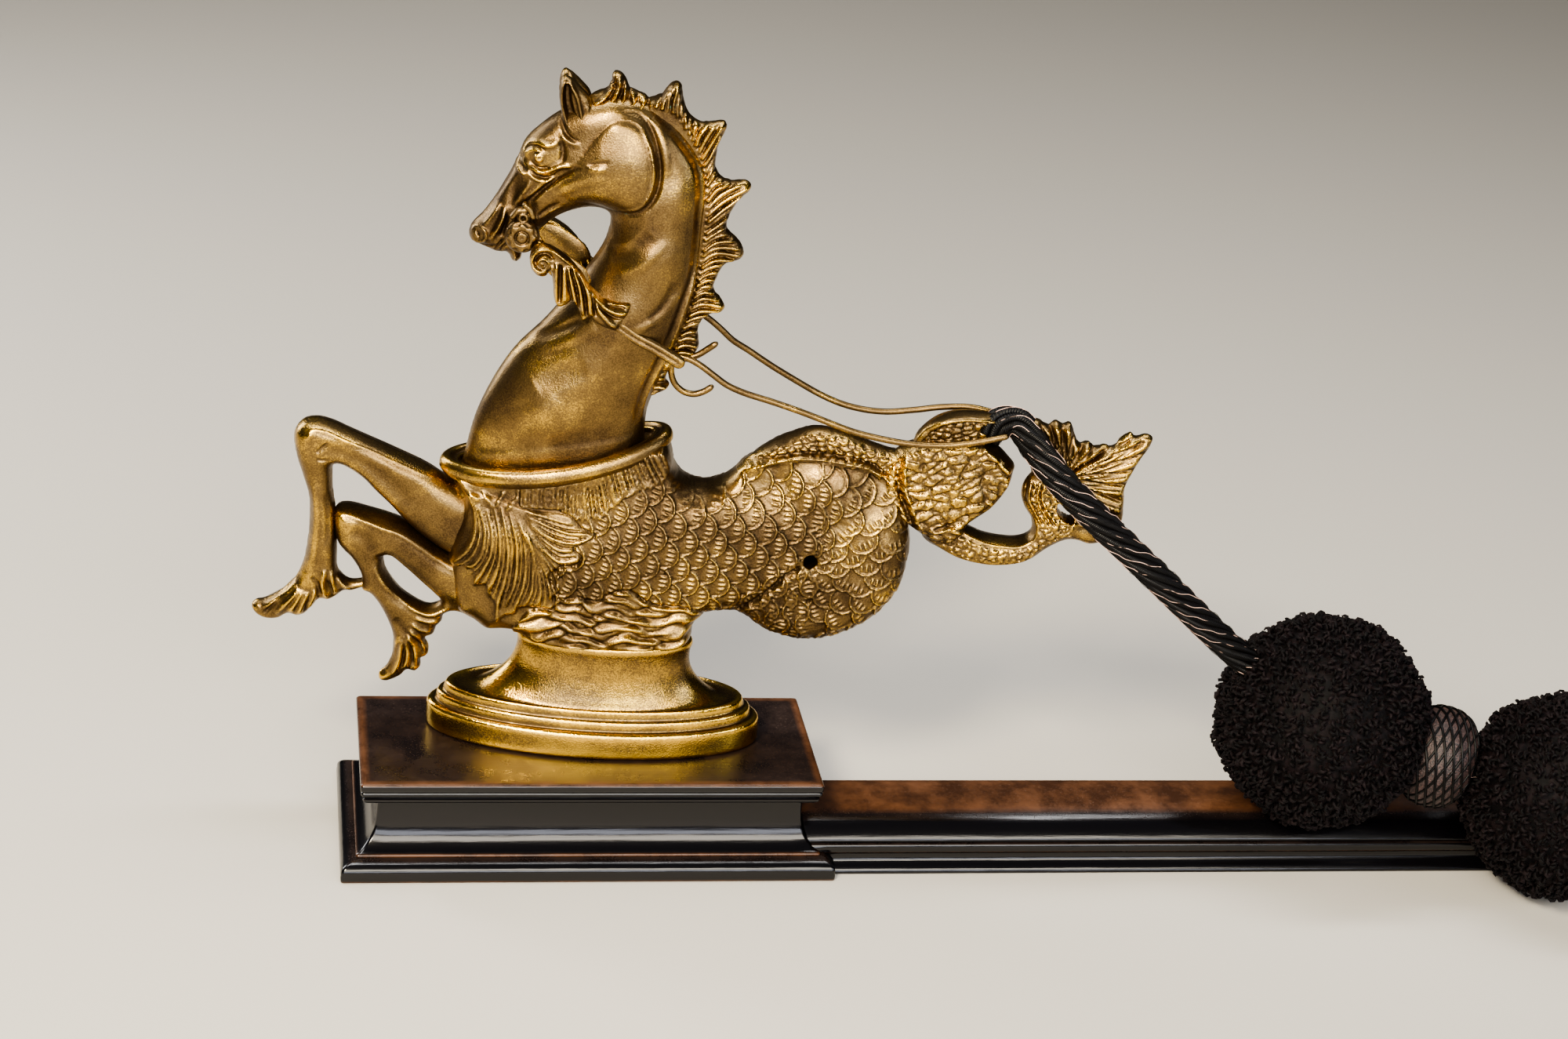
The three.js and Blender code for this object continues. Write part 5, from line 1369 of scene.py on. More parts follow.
body = np.where(depth > 0, np.maximum(body, 0.7), np.minimum(body, OUTSIDE_SLOPE * depth))
body = np.where(from_hole < HOLE_RADIUS + 0.3, OUTSIDE_SLOPE * (from_hole - HOLE_RADIUS), body)
cast_piece("body_cast", [skin(body, x, z)], brass, ["chest_leaf", "scaled_flank", "back_ridge", "wave_bed"])

# Rim of the collar: a heavy round bead cast in one with the body, climbing from the chest to the
# withers, with a thin bright lip inside it and a shallow tray round the neck.
RIM = {"x": -21.2, "half_length": 40.8, "half_depth": 17.5, "nose": 113.5, "rise": 17, "dip": 4}
# Columns: reach outward and height of the bead's section, in millimetres from its middle
RIM_SECTION = [
    (3.7, -0.2), (3.5, 1.6), (2.6, 3.2), (1.1, 4.0), (-0.4, 3.7), (-1.5, 2.6), (-2.2, 2.1), (-3.0, 2.4),
    (-3.6, 1.8), (-3.8, 0.2), (-3.7, -1.9), (-2.9, -3.5), (-0.9, -4.1), (1.2, -3.6), (2.7, -2.0),
]
RIM_STEPS = 220
turns = np.linspace(0, 2 * math.pi, RIM_STEPS, endpoint=False)
out = np.stack([np.cos(turns), np.sin(turns)], axis=1)
climb = RIM["nose"] + RIM["rise"] * (1 + out[:, 0]) / 2 - RIM["dip"] * out[:, 1] ** 2
middle = np.stack([RIM["x"] + RIM["half_length"] * out[:, 0], RIM["half_depth"] * out[:, 1], climb], axis=1)
section = np.array(smooth_line([*RIM_SECTION, RIM_SECTION[0]], 0.55))[:-1]
rings = middle[:, None].repeat(len(section), 1)
rings[:, :, :2] += section[None, :, :1] * out[:, None]
rings[:, :, 2] += section[None, :, 1]
rim = rings.reshape(-1, 3), np.array(ring_faces(RIM_STEPS, len(section), closed=True))
shares = np.array([1.0, 0.97, 0.9, 0.75, 0.55, 0.3])
sink = np.array([-0.6, -1.4, -2.2, -2.8, -3.0, -3.0])
tray_rings = []
for thickness, order in ((0.0, slice(None)), (-2.5, slice(None, None, -1))):
    for share, drop in list(zip(shares, sink))[order]:
        ring = middle.copy()
        ring[:, 0] = RIM["x"] + (RIM["half_length"] - 2.5) * share * out[:, 0]
        ring[:, 1] = (RIM["half_depth"] - 2.2) * share * out[:, 1]
        climb = RIM["nose"] + RIM["rise"] * (1 + share * out[:, 0]) / 2
        ring[:, 2] = climb - RIM["dip"] * (share * out[:, 1]) ** 2 + drop + thickness
        tray_rings.append(ring)
tray = np.array(tray_rings).reshape(-1, 3), np.array(ring_faces(len(tray_rings), RIM_STEPS, closed=True))
cast_piece("collar_rim_cast", [(rim[0], rim[1][:, ::-1]), tray], brass, ["collar_rim"], kept=1)

# Forelegs: one raised and bent, one reaching down, each flat on its faces and rounded at its
# edges, ending in a webbed fin in place of a hoof. They are cast in one with the body.
RAISED_LEG = [
    (-50, 101), (-58, 105.6), (-64, 108.6), (-70, 112), (-80.5, 116.6), (-91, 121), (-101, 125.4),
    (-107, 127.8), (-112.5, 129), (-117.4, 128), (-120.4, 124.5), (-121, 120), (-119.8, 113),
    (-117.5, 105.5), (-115, 97), (-114.4, 87.5), (-115, 77.5), (-116.4, 68.5), (-118.6, 62.5), (-121.4, 58),
    (-126, 53.4), (-131, 50.6), (-134.6, 49.8), (-136.2, 47.6), (-134.6, 44.4), (-130.5, 42.4),
    (-125.8, 42.8), (-121.6, 45.4), (-118.6, 44.6), (-115.5, 45.6), (-112.6, 49), (-109.6, 52.4),
    (-106.6, 52), (-103.4, 54), (-100.4, 56.6), (-97.6, 56.6), (-94, 58), (-90.6, 59.4), (-91, 62.4),
    (-94.4, 61.6), (-98, 61.2), (-101.8, 63.4), (-103.4, 67), (-103.6, 73), (-104, 82), (-104.6, 92),
    (-105.6, 98), (-106.2, 105), (-105.8, 110.4), (-103.6, 111), (-100.4, 109.8), (-94.5, 106),
    (-90.2, 101.6), (-83.5, 95.2), (-77.5, 88.6), (-70, 82.2), (-62, 77), (-54, 74), (-46, 84),
]
LOWERED_LEG = [
    (-48, 76), (-59.5, 76), (-64.5, 78.6), (-70.5, 83), (-77, 87.4), (-83.5, 90), (-88.5, 91.4), (-96, 93),
    (-100.5, 93.6), (-104, 92.8), (-105.2, 90), (-104.8, 84), (-103.4, 78), (-101, 74.6), (-97.6, 71),
    (-94, 64.5), (-93.6, 61), (-93.6, 58), (-90.5, 56.6), (-87.5, 53.2), (-84, 47), (-81.2, 40),
    (-80.4, 35.5), (-80.8, 29), (-82.8, 24), (-85.8, 20.6), (-85.6, 18), (-83, 17.2), (-80, 18.4),
    (-77, 20.4), (-74.6, 23.2), (-71.6, 22.6), (-69.4, 25), (-69.6, 28.4), (-67, 30), (-66.6, 34.4),
    (-68.2, 37.6), (-65, 39.5), (-64, 43), (-62, 45.4), (-61.4, 48.4), (-58.6, 50.2), (-55, 50.2),
    (-50, 47.8), (-43, 46), (-42, 60),
]
LEG_WINDOW = [
    (-85.6, 73), (-83, 73.8), (-77.5, 69.6), (-71, 63.2), (-65.6, 58), (-62.6, 54.4), (-67, 52.2),
    (-72, 53.6), (-78, 57.2), (-82.4, 63), (-85, 68),
]
RAISED_STROKES = [
    ([(-115.5, 122), (-113.5, 126.6), (-108.5, 126.4), (-100.5, 123), (-90.5, 119.6), (-80, 115.2),
      (-72, 111.8), (-62, 107.4)], 1.6, 0.9),
    ([(-110, 118), (-104, 118.6), (-94, 114.4), (-84, 107.4), (-76, 98)], 5.0, -0.7),
    ([(-107.5, 121.6), (-110, 119.4), (-112, 117.4)], 1.0, -0.7),
    ([(-106.5, 115), (-109.4, 114.4), (-112, 114.8)], 1.0, -0.6),
    ([(-113, 104), (-111.6, 90), (-112.4, 76), (-114, 66)], 2.2, 0.8),
    ([(-108, 100), (-107, 88), (-107.2, 78)], 1.8, -0.6),
    ([(-119, 60), (-124.5, 54), (-131.5, 48.4)], 1.8, 1.5),
    ([(-117.6, 58), (-121.5, 52.5), (-126.6, 45.8)], 1.6, 1.3),
    ([(-116, 57.4), (-118.6, 52), (-121.2, 47.4)], 1.5, 1.3),
    ([(-114, 57), (-116, 51.5), (-117.4, 46.6)], 1.5, 1.2),
    ([(-111.4, 58), (-112, 53), (-113.6, 48.4)], 1.4, 1.2),
    ([(-107.8, 67), (-108.4, 60), (-106.9, 54.2)], 1.6, 1.3),
    ([(-105, 67), (-104.4, 60.5), (-103.2, 56.4)], 1.3, 1.1),
    ([(-103, 64), (-100.6, 60), (-98, 58.2)], 1.2, 0.9),
    ([(-122, 56.4), (-127, 50.4), (-131.4, 45.4)], 1.2, -0.9),
    ([(-117, 64), (-118.6, 61), (-120.8, 58.8)], 1.4, -0.5),
    ([(-112.6, 64), (-110.4, 60), (-109.6, 55)], 1.6, -0.9),
    ([(-106.4, 62.6), (-105, 58), (-104.6, 54.4)], 1.0, -0.8),
]
LOWERED_STROKES = [
    ([(-103.6, 91.4), (-99.5, 92), (-94, 90.2), (-86.5, 87.6), (-79.5, 85.6), (-72, 81), (-64.5, 75.4),
      (-56, 70.5)], 1.6, 0.9),
    ([(-84.4, 75.4), (-82.6, 75.6), (-76.4, 71), (-70, 64.6), (-62, 57.8)], 1.3, 0.9),
    ([(-88.4, 70.4), (-86.6, 66), (-82.8, 60.6), (-77.5, 55.8), (-72, 51.6), (-66.5, 49.8),
      (-60, 52)], 1.5, 1.2),
    ([(-98, 86), (-92, 82), (-88, 76)], 4.0, -0.6), ([(-78, 40), (-81, 32), (-83.4, 22.6)], 1.6, 1.3),
    ([(-77, 38.6), (-77.6, 30.5), (-80, 21.6)], 1.4, 1.3),
    ([(-75.6, 39.4), (-74.4, 31.5), (-75.4, 25)], 1.3, 1.2),
    ([(-75, 41), (-71.8, 33.5), (-70.8, 26.6)], 1.3, 1.2),
    ([(-74.6, 43.4), (-69.9, 38), (-67.8, 33)], 1.3, 1.1),
    ([(-73.4, 46), (-69.4, 42.6), (-65.6, 41.8)], 1.2, 1.0),
    ([(-72, 48.4), (-68, 46.8), (-63.5, 46.6)], 1.1, 0.9),
    ([(-79.6, 36), (-82, 28), (-84.6, 21)], 1.0, -0.7),
    ([(-76.4, 34), (-76.4, 28), (-77.8, 23)], 0.9, -0.8),
    ([(-73.4, 36), (-72.4, 30), (-73, 25.6)], 0.9, -0.8),
    ([(-72.6, 39.6), (-69.4, 34.4), (-68.8, 29.6)], 0.9, -0.8),
    ([(-80, 48), (-77.4, 44), (-74, 40)], 2.6, -0.6),
]

# Columns: x, z, and there the reach of the rounded edge or the half thickness
RAISED_ROUNDING = [
    (-60, 92, 9), (-84, 106, 5.5), (-110, 122, 5.5), (-112, 84, 4.6), (-112, 62, 5), (-130, 46, 3),
    (-98, 59, 2.4),
]
RAISED_THICKNESS = [
    (-58, 92, 9), (-84, 106, 8.2), (-112, 122, 7.6), (-110, 98, 6.4), (-110, 80, 6.2), (-110, 64, 5.8),
    (-118, 54, 5.2), (-131, 46, 3.6), (-104, 55, 3.6), (-95, 60, 3),
]
LOWERED_ROUNDING = [
    (-58, 66, 8), (-84, 84, 5.5), (-98, 86, 5.5), (-88, 62, 4.4), (-78, 46, 5), (-76, 28, 4),
    (-60, 52, 3.4),
]
LOWERED_THICKNESS = [
    (-56, 64, 8.5), (-78, 78, 8.4), (-98, 86, 7.6), (-92, 68, 6.4), (-84, 54, 6.4), (-77, 42, 5.8),
    (-76, 28, 4.4), (-83, 19, 3), (-66, 36, 3.2), (-62, 51, 4.6),
]
x, z = plane((-140, 14), (-38, 133))
depth = inside(x, z, RAISED_LEG, 1.0)
raised = dome(depth, spread(x, z, RAISED_ROUNDING, 7), spread(x, z, RAISED_THICKNESS, 6))
chase(raised, x, z, RAISED_STROKES, 0.2)
raised = at_least(raised, depth, 0.8)
cast_piece("raised_foreleg_cast", [skin(raised, x, z)], brass, ["raised_foreleg"])

depth = np.minimum(inside(x, z, LOWERED_LEG, 1.0), -inside(x, z, LEG_WINDOW, 1.0))
lowered = dome(depth, spread(x, z, LOWERED_ROUNDING, 7), spread(x, z, LOWERED_THICKNESS, 6))
chase(lowered, x, z, LOWERED_STROKES, 0.2)
lowered = at_least(lowered, depth, 0.8)
cast_piece("lowered_foreleg_cast", [skin(lowered, x, z)], brass, ["lowered_foreleg"])

# Tail: a pitted lobe with a curl on it, a band that loops back up under it, and a fluke fluted
# like a scallop shell at the band's end. It is cast in one with the body, thinner than it.
TAIL_LOBE = [
    (104, 112), (106, 126), (110, 131.4), (118, 135.5), (130, 137.6), (141, 138), (149, 135), (153.6, 131),
    (156.4, 127.5), (156, 124.5), (155.4, 120.5), (152.4, 114.5), (149.2, 110), (144.4, 105.6),
    (140.6, 101.6), (138.5, 97), (133, 93.5), (126, 95), (119, 99), (112, 104),
]
TAIL_BAND = [
    (122, 98), (130, 101), (137, 100.4), (142.5, 99.4), (148, 97.2), (155, 96.2), (161.5, 96.4),
    (165.3, 98.4), (166.4, 101.6), (165.4, 106), (162.2, 110.5), (160.4, 116), (160.8, 120), (162.6, 123.8),
    (166, 127), (171, 127), (174.5, 121), (179, 115), (184, 108), (186, 106), (188, 106), (197, 106),
    (197, 99), (190, 96), (184.5, 97.4), (180.5, 97.4), (176, 95.2), (171.5, 91.8), (168.5, 89),
    (164, 86.6), (157.5, 85.2), (151, 84.8), (144, 85.6), (137, 87.4), (130.5, 90.6), (124.5, 94),
]
TAIL_CURL = [
    (115.6, 134), (117, 138), (120.2, 142), (124.4, 145.4), (130.5, 147.8), (137, 148.6), (143.5, 148.4),
    (148, 147.2), (150, 144.4), (148.6, 140), (143, 136.6), (132.5, 134.6), (124.5, 134), (119, 133),
]
FLUKE = [
    (172, 115), (166, 120), (163, 126), (161, 134), (159.6, 141), (159.4, 147), (163.4, 147.4),
    (167.2, 145.2), (170, 147.4), (173.2, 146), (175.6, 147.2), (177.8, 143), (180.2, 138.8), (184, 139.4),
    (187, 137.2), (190, 138.6), (193.5, 138), (196, 141), (200, 144.4), (202, 142.6), (205.5, 144),
    (208.6, 143), (208.4, 140), (205.3, 133.5), (202.8, 127.5), (200.8, 121), (201.3, 113), (201.2, 106),
    (196, 100), (188, 101), (182, 105), (179, 111), (176, 114.6),
]
FLUKE_ROOT = (174.5, 124.5)
FLUKE_TIPS = [
    (162, 146), (165.6, 146), (170, 146), (175, 145.6), (179.4, 139.6), (184, 138.6), (188.6, 137.8),
    (193, 137.6), (198.6, 143.2), (203.4, 143), (207, 140.6), (204, 133), (201.4, 126), (200, 119.6),
    (200, 112),
]

WINDOW = [
    (174.6, 113.8), (176.6, 113.2), (179.4, 110.6), (182, 106.6), (181.6, 105.4), (179, 106.4),
    (176.4, 108.4), (174.6, 111),
]
# Columns: x, z, half thickness
LOBE_THICKNESS = [(110, 120, 6.6), (124, 112, 7.6), (136, 117, 7.8), (150, 124, 6)]
BAND_THICKNESS = [
    (128, 95, 5.6), (146, 91, 6.6), (160, 91, 6.2), (172, 98, 5.6), (170, 112, 4.6), (165, 122, 3.6),
    (190, 101, 4.4),
]
CURL_THICKNESS = [(120, 138, 4), (130, 142, 6), (143, 142, 5)]
FLUKE_THICKNESS = [(176, 128, 3.6), (190, 130, 3.4), (200, 138, 3), (192, 104, 4.2)]
x, z = plane((98, 80), (214, 153), cell=0.55)
parts = []
for outline, reach, thickness in (
    (TAIL_LOBE, 4.6, LOBE_THICKNESS),
    (TAIL_BAND, 4.6, BAND_THICKNESS),
    (TAIL_CURL, 4.2, CURL_THICKNESS),
    (FLUKE, 2.8, FLUKE_THICKNESS),
):
    depth = inside(x, z, outline, 1.0)
    parts.append((depth, dome(depth, reach, spread(x, z, thickness, 8))))
(lobe_depth, lobe), (band_depth, band), (curl_depth, curl), (fluke_depth, fluke) = parts
# The lobe, the band and the curl are pitted with lumps, large and small, that lie along them
bent_x, bent_z = x + 0.9 * np.sin(z / 3), z + 2.4 * np.cos((x - 120) / 7) + 0.7 * np.sin(x / 3)
lumps = 1.2 * pebbles(bent_x, bent_z, 6.6, 3.6, 4, 5) + 0.6 * pebbles(x, z, 9.0, 6.0, 3, 8)
lumps += 0.45 * pebbles(x, z, 2.3, 1.6, 30, 12)
lobe = np.where(lobe_depth > 1.6, lobe - 0.9 + lumps, lobe)
cracks = pebbles(x + np.sin(z / 1.7), z, 3.0, 1.9, 25, 9) + 0.4 * pebbles(x, z, 1.7, 1.2, 70, 4)
band = np.where((band_depth > 2.6) & (x < 182), band - 0.6 + cracks, band)
curl = np.where(curl_depth > 2.4, curl - 2.2 + 1.2 * pebbles(x, z, 3.4, 1.9, 10, 11), curl)
# The fluke's flutes run from its root to its tips, each with a groove in it and a valley after it
root_x, root_z = FLUKE_ROOT
for tip, after in zip(FLUKE_TIPS, FLUKE_TIPS[1:] + [None]):
    bend_x = (root_x + tip[0]) / 2 + 0.06 * (tip[1] - root_z)
    bend_z = (root_z + tip[1]) / 2 - 0.06 * (tip[0] - root_x)
    flute = [FLUKE_ROOT, (bend_x, bend_z), tip]
    stroke(fluke, x, z, flute, (0.9, 1.6), 1.6, taper=0.1)
    stroke(fluke, x, z, flute, (0.4, 0.6), -0.8, taper=0.25)
    if after is not None:
        between = ((tip[0] + after[0]) / 2, (tip[1] + after[1]) / 2)
        valley = [FLUKE_ROOT, ((root_x + between[0]) / 2, (root_z + between[1]) / 2), between]
        stroke(fluke, x, z, valley, (0.6, 1.1), -1.4, taper=0.1)
tail = np.maximum.reduce([lobe, band, curl, fluke])
TAIL_STROKES = [
    ([(116.4, 136), (119, 140.6), (123.6, 144.2), (130, 146.6), (137, 147.4), (144, 147)], 1.5, 1.3),
    ([(117.4, 134.8), (124.5, 135.6), (132.5, 136.4), (143, 138.2)], 1.4, 0.9),
    ([(110.4, 132), (110.6, 124), (112, 116), (114.6, 110.5), (117, 105), (119.6, 100)], 1.7, -2.0),
    ([(112.8, 131), (113.2, 124), (114.4, 117), (117, 111), (119.6, 105.6), (122, 101)], 1.0, 0.9),
    ([(142, 103), (146, 107.6), (150.6, 113.4), (153.8, 119), (154.4, 124)], 1.4, 1.0),
    ([(142, 137), (147, 132.6), (151.6, 128.8), (154.4, 126)], 1.4, 0.9),
    ([(126, 99.6), (134, 101.4), (141.4, 98.4), (148, 95.8), (155, 94.8), (162, 95), (166.6, 97.6),
      (168, 101.4), (167, 106.4), (164, 111), (162.4, 117), (163.4, 122)], 1.3, 1.1),
    ([(123, 98), (131, 92.4), (137.4, 89.2), (144.2, 87.4), (151, 86.6), (157.4, 87), (163.4, 88.6),
      (168, 91.2)], 1.2, 0.8),
    ([(163.6, 121.6), (163.4, 117), (165, 112), (168.4, 107)], 0.8, 0.8),
    ([(165.4, 121), (165.6, 116), (167.6, 111.6), (171, 107.6)], 0.8, 0.7),
    ([(164.6, 121), (164.4, 116.6), (166.4, 111.8), (169.6, 107.4)], 0.6, -0.7),
    ([(176, 110), (180, 106.4), (186, 105), (193, 105)], 1.2, 0.8),
    ([(140, 108), (134, 104), (127, 101)], 1.6, -1.2),
]
chase(tail, x, z, TAIL_STROKES, 0.12)
# Four grooves with a rib beside each, bent round the window between the band and the fluke
for reach in (1.6, 3.4, 5.2, 7.0):
    round_window = [(160.6 + reach, 122), (160.4 + reach, 115.6), (163.6 + reach, 109.6),
                    (166.4 + 1.2 * reach, 104.6)]
    stroke(tail, x, z, round_window, 0.7, -1.0, taper=0.15)
    stroke(tail, x, z, [(px + 0.9, pz) for px, pz in round_window], 0.8, 0.8, taper=0.15)
full = np.maximum.reduce([lobe_depth, band_depth, curl_depth, fluke_depth])
full = np.minimum(full, -inside(x, z, WINDOW, 0.8))
tail = np.where(full > 0, np.maximum(tail, 0.8), np.minimum(tail, OUTSIDE_SLOPE * full))
cast_piece("tail_cast", [skin(tail, x, z)], brass, ["tail_lobe", "tail_curl", "tail_band", "tail_fluke"])

# Foot: turned and cast in one with the waves, an oval base with a stepped edge, a hollow sweep and
# a waist. It is bolted down through the plinth.
# Columns: height, middle along the horse, half length, half depth
FOOT_PROFILE = [
    (0.35, 0, 65.4, 24.6), (0.8, 0, 66.2, 25.2), (1.6, 0, 66.5, 25.5), (9.4, 0, 66.5, 25.5),
    (10.6, 0, 66.2, 25.2), (11.3, 0, 65.4, 24.5), (11.6, 0, 64.6, 23.8), (11.5, 0, 63.6, 23.2),
    (11.6, 0, 63.1, 22.9), (12.4, 0, 62.8, 22.7), (14.2, 0, 62.6, 22.6), (15.2, 0, 62.1, 22.2),
    (15.6, 0, 61.4, 21.8), (15.7, 0, 60.6, 21.4), (15.9, 0, 60.1, 21.1), (16.8, 0, 59.8, 20.9),
    (18.2, 0, 59.4, 20.7), (19.1, 0, 58.8, 20.4), (19.4, 0, 58, 20), (19.3, 0.1, 57, 19.6),
    (18.8, 0.2, 55.4, 19.2), (18.6, 0.3, 53.4, 18.8), (18.9, 0.5, 50.8, 18.3), (19.8, 0.7, 48, 17.8),
    (21.4, 0.9, 45, 17.3), (23.8, 1.2, 41.8, 16.5), (27, 1.5, 38.6, 15.7), (30.5, 1.8, 36.2, 15),
    (34, 2, 34.9, 14.7), (37, 2.3, 34.4, 14.8), (40, 2.6, 34.4, 15.2), (42.4, 2.8, 34.8, 15.7),
    (44, 2.9, 34, 15.4), (44.6, 2.9, 30, 13),
]
FOOT_SIDES = 160
profile = smooth_line(FOOT_PROFILE, 0.75)
turns = np.linspace(0, 2 * math.pi, FOOT_SIDES, endpoint=False)
rings = [np.stack([cx + length * np.cos(turns), depth * np.sin(turns), np.full(FOOT_SIDES, height)], axis=1)
         for height, cx, length, depth in profile]
rings = [rings[0] * [0.9, 0.9, 1], *rings, rings[-1] * [0.8, 0.8, 1]]
sides = np.array(ring_faces(len(rings), FOOT_SIDES)[:-2])
half = np.arange(FOOT_SIDES // 2 - 1)
cap = np.stack([half, half + 1, FOOT_SIDES - 2 - half, FOOT_SIDES - 1 - half], axis=1)
top_cap = cap[:, ::-1] + (len(rings) - 1) * FOOT_SIDES
# The foot is turned after casting and polished brighter than the rest
turned_brass = cast_brass("cast_brass_turned_polished", -0.45)
foot = np.vstack(rings), np.vstack([sides, cap, top_cap])
cast_piece("foot_turned", [foot], turned_brass, ["foot_base"], kept=1)

# Plinth: three lacquered boards glued in a stack, a top board with a beaded edge, a hollow moulding
# and a base board. The lacquer is thick, so every arris is a little round.
PLINTH_PLAN = (181.0, 72.0)
# Columns: height and reach beyond the plinth's plan
BOARDS = {
    "plinth_top_board": [
        (31, -6.4), (31, -2), (31.4, -1.4), (32.2, -0.9), (32.9, -0.9), (33.2, -1.4), (33.5, -1.7),
        (33.8, -1.4), (34.2, -0.6), (35, -0.1), (35.8, -0.1), (36.2, -0.5), (36.4, -0.3), (37, 0.1),
        (38, 0.2), (39, 0.2), (39.6, -0.1), (39.95, -0.7), (40, -1.8), (40, -4),
    ],
    "plinth_hollow": [
        (8.2, 1), (8.6, 1.2), (9.2, 1.0), (9.6, 0.2), (10.2, -0.9), (12, -2.9), (14, -4.4), (17, -5.7),
        (20, -6.3), (24, -6.6), (28, -6.7), (30.8, -6.6),
    ],
    "plinth_base_board": [
        (0, 6.4), (0.4, 6.9), (1.2, 7), (2.6, 7), (3.2, 6.8), (4.2, 6.9), (5.2, 6.6), (6.2, 5.9), (7, 4.9),
        (7.6, 3.6), (8, 2.4),
    ],
}
# The height at which each board's lacquer is rubbed through
BOARD_ARRIS = {"plinth_top_board": 39.8, "plinth_hollow": 8.6, "plinth_base_board": 0.0}
ARRIS_REACH, ARRIS_WEAR = 0.7, 0.55
CORNER_RADIUS, CORNER_STEPS, SIDE_STEPS = 1.2, 5, (30, 12)
# Each corner's side in x and y, and the direction of the edge after it
PLAN_CORNERS = (((1, 1), (-1, 0)), ((-1, 1), (0, -1)), ((-1, -1), (1, 0)), ((1, -1), (0, 1)))

# Black lacquer on hardwood: many coats, rubbed down and polished, with dust on what faces up and
# the brown ground coat showing along the worn arrises. The drag of the brush is about 1 mm.
LACQUER, LACQUER_WORN, DUST = "070608", "643e20", "382a24"
lacquer, tree, shader = new_material("black_lacquer_brushed_polished")
spots = add(tree, "ShaderNodeTexCoord").outputs["Object"]
facing = add(tree, "ShaderNodeNewGeometry").outputs["Normal"]
upward = add(tree, "ShaderNodeSeparateXYZ", {"Vector": facing}).outputs["Z"]
settled = add(tree, "ShaderNodeMapRange", {"Value": upward, "From Min": 0.86, "From Max": 1.0})
clouds = add(tree, "ShaderNodeTexNoise", {"Vector": spots, "Scale": 60.0, "Detail": 6.0, "Roughness": 0.7})
specks = add(tree, "ShaderNodeTexNoise", {"Vector": spots, "Scale": 1400.0, "Detail": 1.0})
patchy = add(tree, "ShaderNodeMapRange", {
    "Value": clouds, "From Min": 0.35, "From Max": 0.7, "To Min": 0.12, "To Max": 0.5})
speck = add(tree, "ShaderNodeMapRange", {
    "Value": specks, "From Min": 0.62, "From Max": 0.72, "To Min": 0.0, "To Max": 0.5})
dusty = add(tree, "ShaderNodeMath", {0: patchy, 1: speck}, operation="ADD")
dusty = add(tree, "ShaderNodeMath", {0: dusty, 1: settled}, operation="MULTIPLY", use_clamp=True)
ground = add(tree, "ShaderNodeMix", {0: dusty, 6: linear(LACQUER), 7: linear(DUST)}, data_type="RGBA")
edge = add(tree, "ShaderNodeAttribute", attribute_name="worn").outputs["Fac"]
broken = add(tree, "ShaderNodeMapRange", {
    "Value": clouds, "From Min": 0.38, "From Max": 0.62, "To Min": 0.35})
bare = add(tree, "ShaderNodeMath", {0: edge, 1: broken}, operation="MULTIPLY", use_clamp=True)
tone = add(tree, "ShaderNodeMix", {0: bare, 6: ground.outputs[2], 7: linear(LACQUER_WORN)},
           data_type="RGBA")
haze = add(tree, "ShaderNodeMath", {0: dusty, 1: 0.5, 2: 0.16}, operation="MULTIPLY_ADD")
haze = add(tree, "ShaderNodeMath", {0: bare, 1: 0.3, 2: haze}, operation="MULTIPLY_ADD")
along = add(tree, "ShaderNodeMapping", {"Vector": spots, "Scale": (0.06, 1.0, 1.0)})
drag = add(tree, "ShaderNodeTexNoise", {"Vector": along, "Scale": 700.0, "Detail": 3.0})
bump = add(tree, "ShaderNodeBump", {"Height": drag, "Strength": 0.22, "Distance": 0.25 * MM})
fill(tree, shader, {"Base Color": tone.outputs[2], "Roughness": haze, "Normal": bump})


def plan_ring(reach):
    """The outline of the plinth's plan grown by a reach, with its corners a little round."""
    half = np.array(PLINTH_PLAN) / 2 + reach - CORNER_RADIUS
    ring = []
    for corner, ((sx, sy), (ax, ay)) in enumerate(PLAN_CORNERS):
        for step in range(CORNER_STEPS + 1):
            turn = math.pi / 2 * (corner + step / CORNER_STEPS)
            px = sx * half[0] + CORNER_RADIUS * math.cos(turn)
            py = sy * half[1] + CORNER_RADIUS * math.sin(turn)
            ring.append((px, py))
        count, length = SIDE_STEPS[corner % 2], 2 * half[corner % 2]
        ring += [(px + ax * length * k / count, py + ay * length * k / count) for k in range(1, count)]
    return np.array(ring)


def lacquered(node, points, faces, wear):
    """Stands a node's board in its place, from millimetres round the plinth's middle. The wear is
    how far the lacquer has gone at each point, from 0 to 1."""
    mesh = bpy.data.meshes.new(f"{node}_lacquered")
    mesh.from_pydata(np.asarray(points) * MM + np.array(plinth_foot), [], faces)
    noted = mesh.attributes.new("worn", "FLOAT", "POINT")
    noted.data.foreach_set("value", np.asarray(wear, np.float32))
    outward(mesh)
    mesh.set_sharp_from_angle(angle=math.radians(50))
    mesh.materials.append(lacquer)
    piece = new_object(f"{node}_lacquered", mesh)
    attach(piece, "root")
    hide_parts(node)


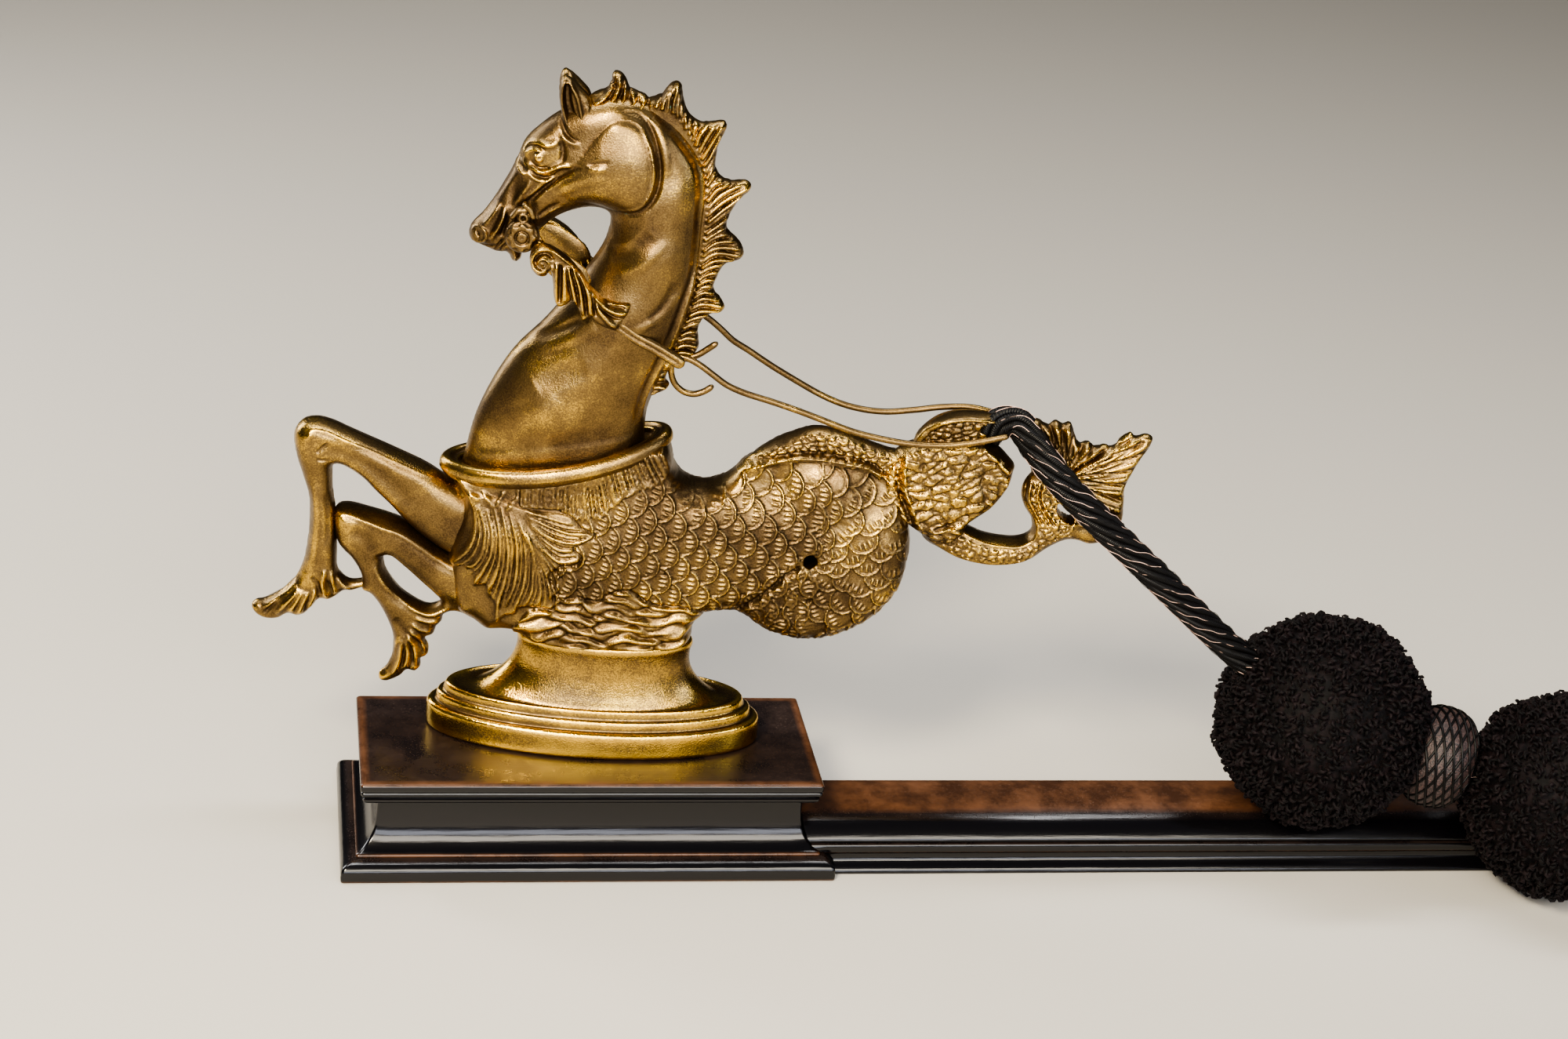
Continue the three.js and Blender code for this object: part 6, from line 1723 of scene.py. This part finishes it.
for node, board in BOARDS.items():
    plans = [plan_ring(reach) for _, reach in board]
    count = len(plans[0])
    rings = [np.column_stack([plan, np.full(count, height)]) for plan, (height, _) in zip(plans, board)]
    wear = [ARRIS_WEAR if abs(height - BOARD_ARRIS[node]) < ARRIS_REACH and reach > -3 else 0.0
            for height, reach in board]
    lacquered(node, np.vstack(rings), ring_faces(len(rings), count), np.repeat(wear, count))

# Rail: a stretch of the moulded gunwale that the plinth stands at the end of, a cove below and a
# rounded cap above, coped round the plinth and cut off square at its far end.
RAIL_START, RAIL_LENGTH = 90.8, 345.0
# Columns: distance from the plinth's middle toward the back, and height
RAIL_PROFILES = {
    "rail_base": [
        (0.2, 0), (-37.6, 0), (-38, 0.4), (-37.9, 1.4), (-37.3, 2.3), (-36.2, 3.3), (-34.9, 4.2),
        (-34.3, 5.2), (-34.1, 6.6), (-34.1, 7.8), (-34.6, 8.3), (-35.3, 8.6), (-35.6, 9), (-35.6, 11.6),
        (-35.3, 12), (0.2, 12),
    ],
    "rail_cap": [
        (0, 12.3), (-33.8, 12.3), (-34, 12.7), (-33.9, 13.4), (-33.4, 14.2), (-32.4, 15.4), (-31, 16.9),
        (-29.4, 18.2), (-27.4, 19.4), (-25, 20.4), (-22, 21.3), (-19, 21.8), (-16, 22), (-3, 22),
        (-1, 21.9), (0, 21.3),
    ],
}
# The cap's flat top and the bead over the cove are coloured brown
RAIL_BROWN = {
    "rail_base": lambda points: np.where(np.abs(points[:, 2] - 8.5) < 0.5, 0.9, 0.0),
    "rail_cap": lambda points: np.where(points[:, 2] > 21.2, 0.6, 0.0),
}
RAIL_GAP, RAIL_RINGS = 0.2, 58
reaches = np.array(sorted(sum(BOARDS.values(), [])))
for node, profile in RAIL_PROFILES.items():
    profile = np.array(profile, float)
    start = RAIL_START + np.interp(profile[:, 1], reaches[:, 0], reaches[:, 1]) + RAIL_GAP
    rings = [np.column_stack([start + (RAIL_START + RAIL_LENGTH - start) * step, profile])
             for step in np.linspace(0, 1, RAIL_RINGS)]
    points = np.vstack(rings)
    lacquered(node, points, ring_faces(RAIL_RINGS, len(profile)), RAIL_BROWN[node](points))
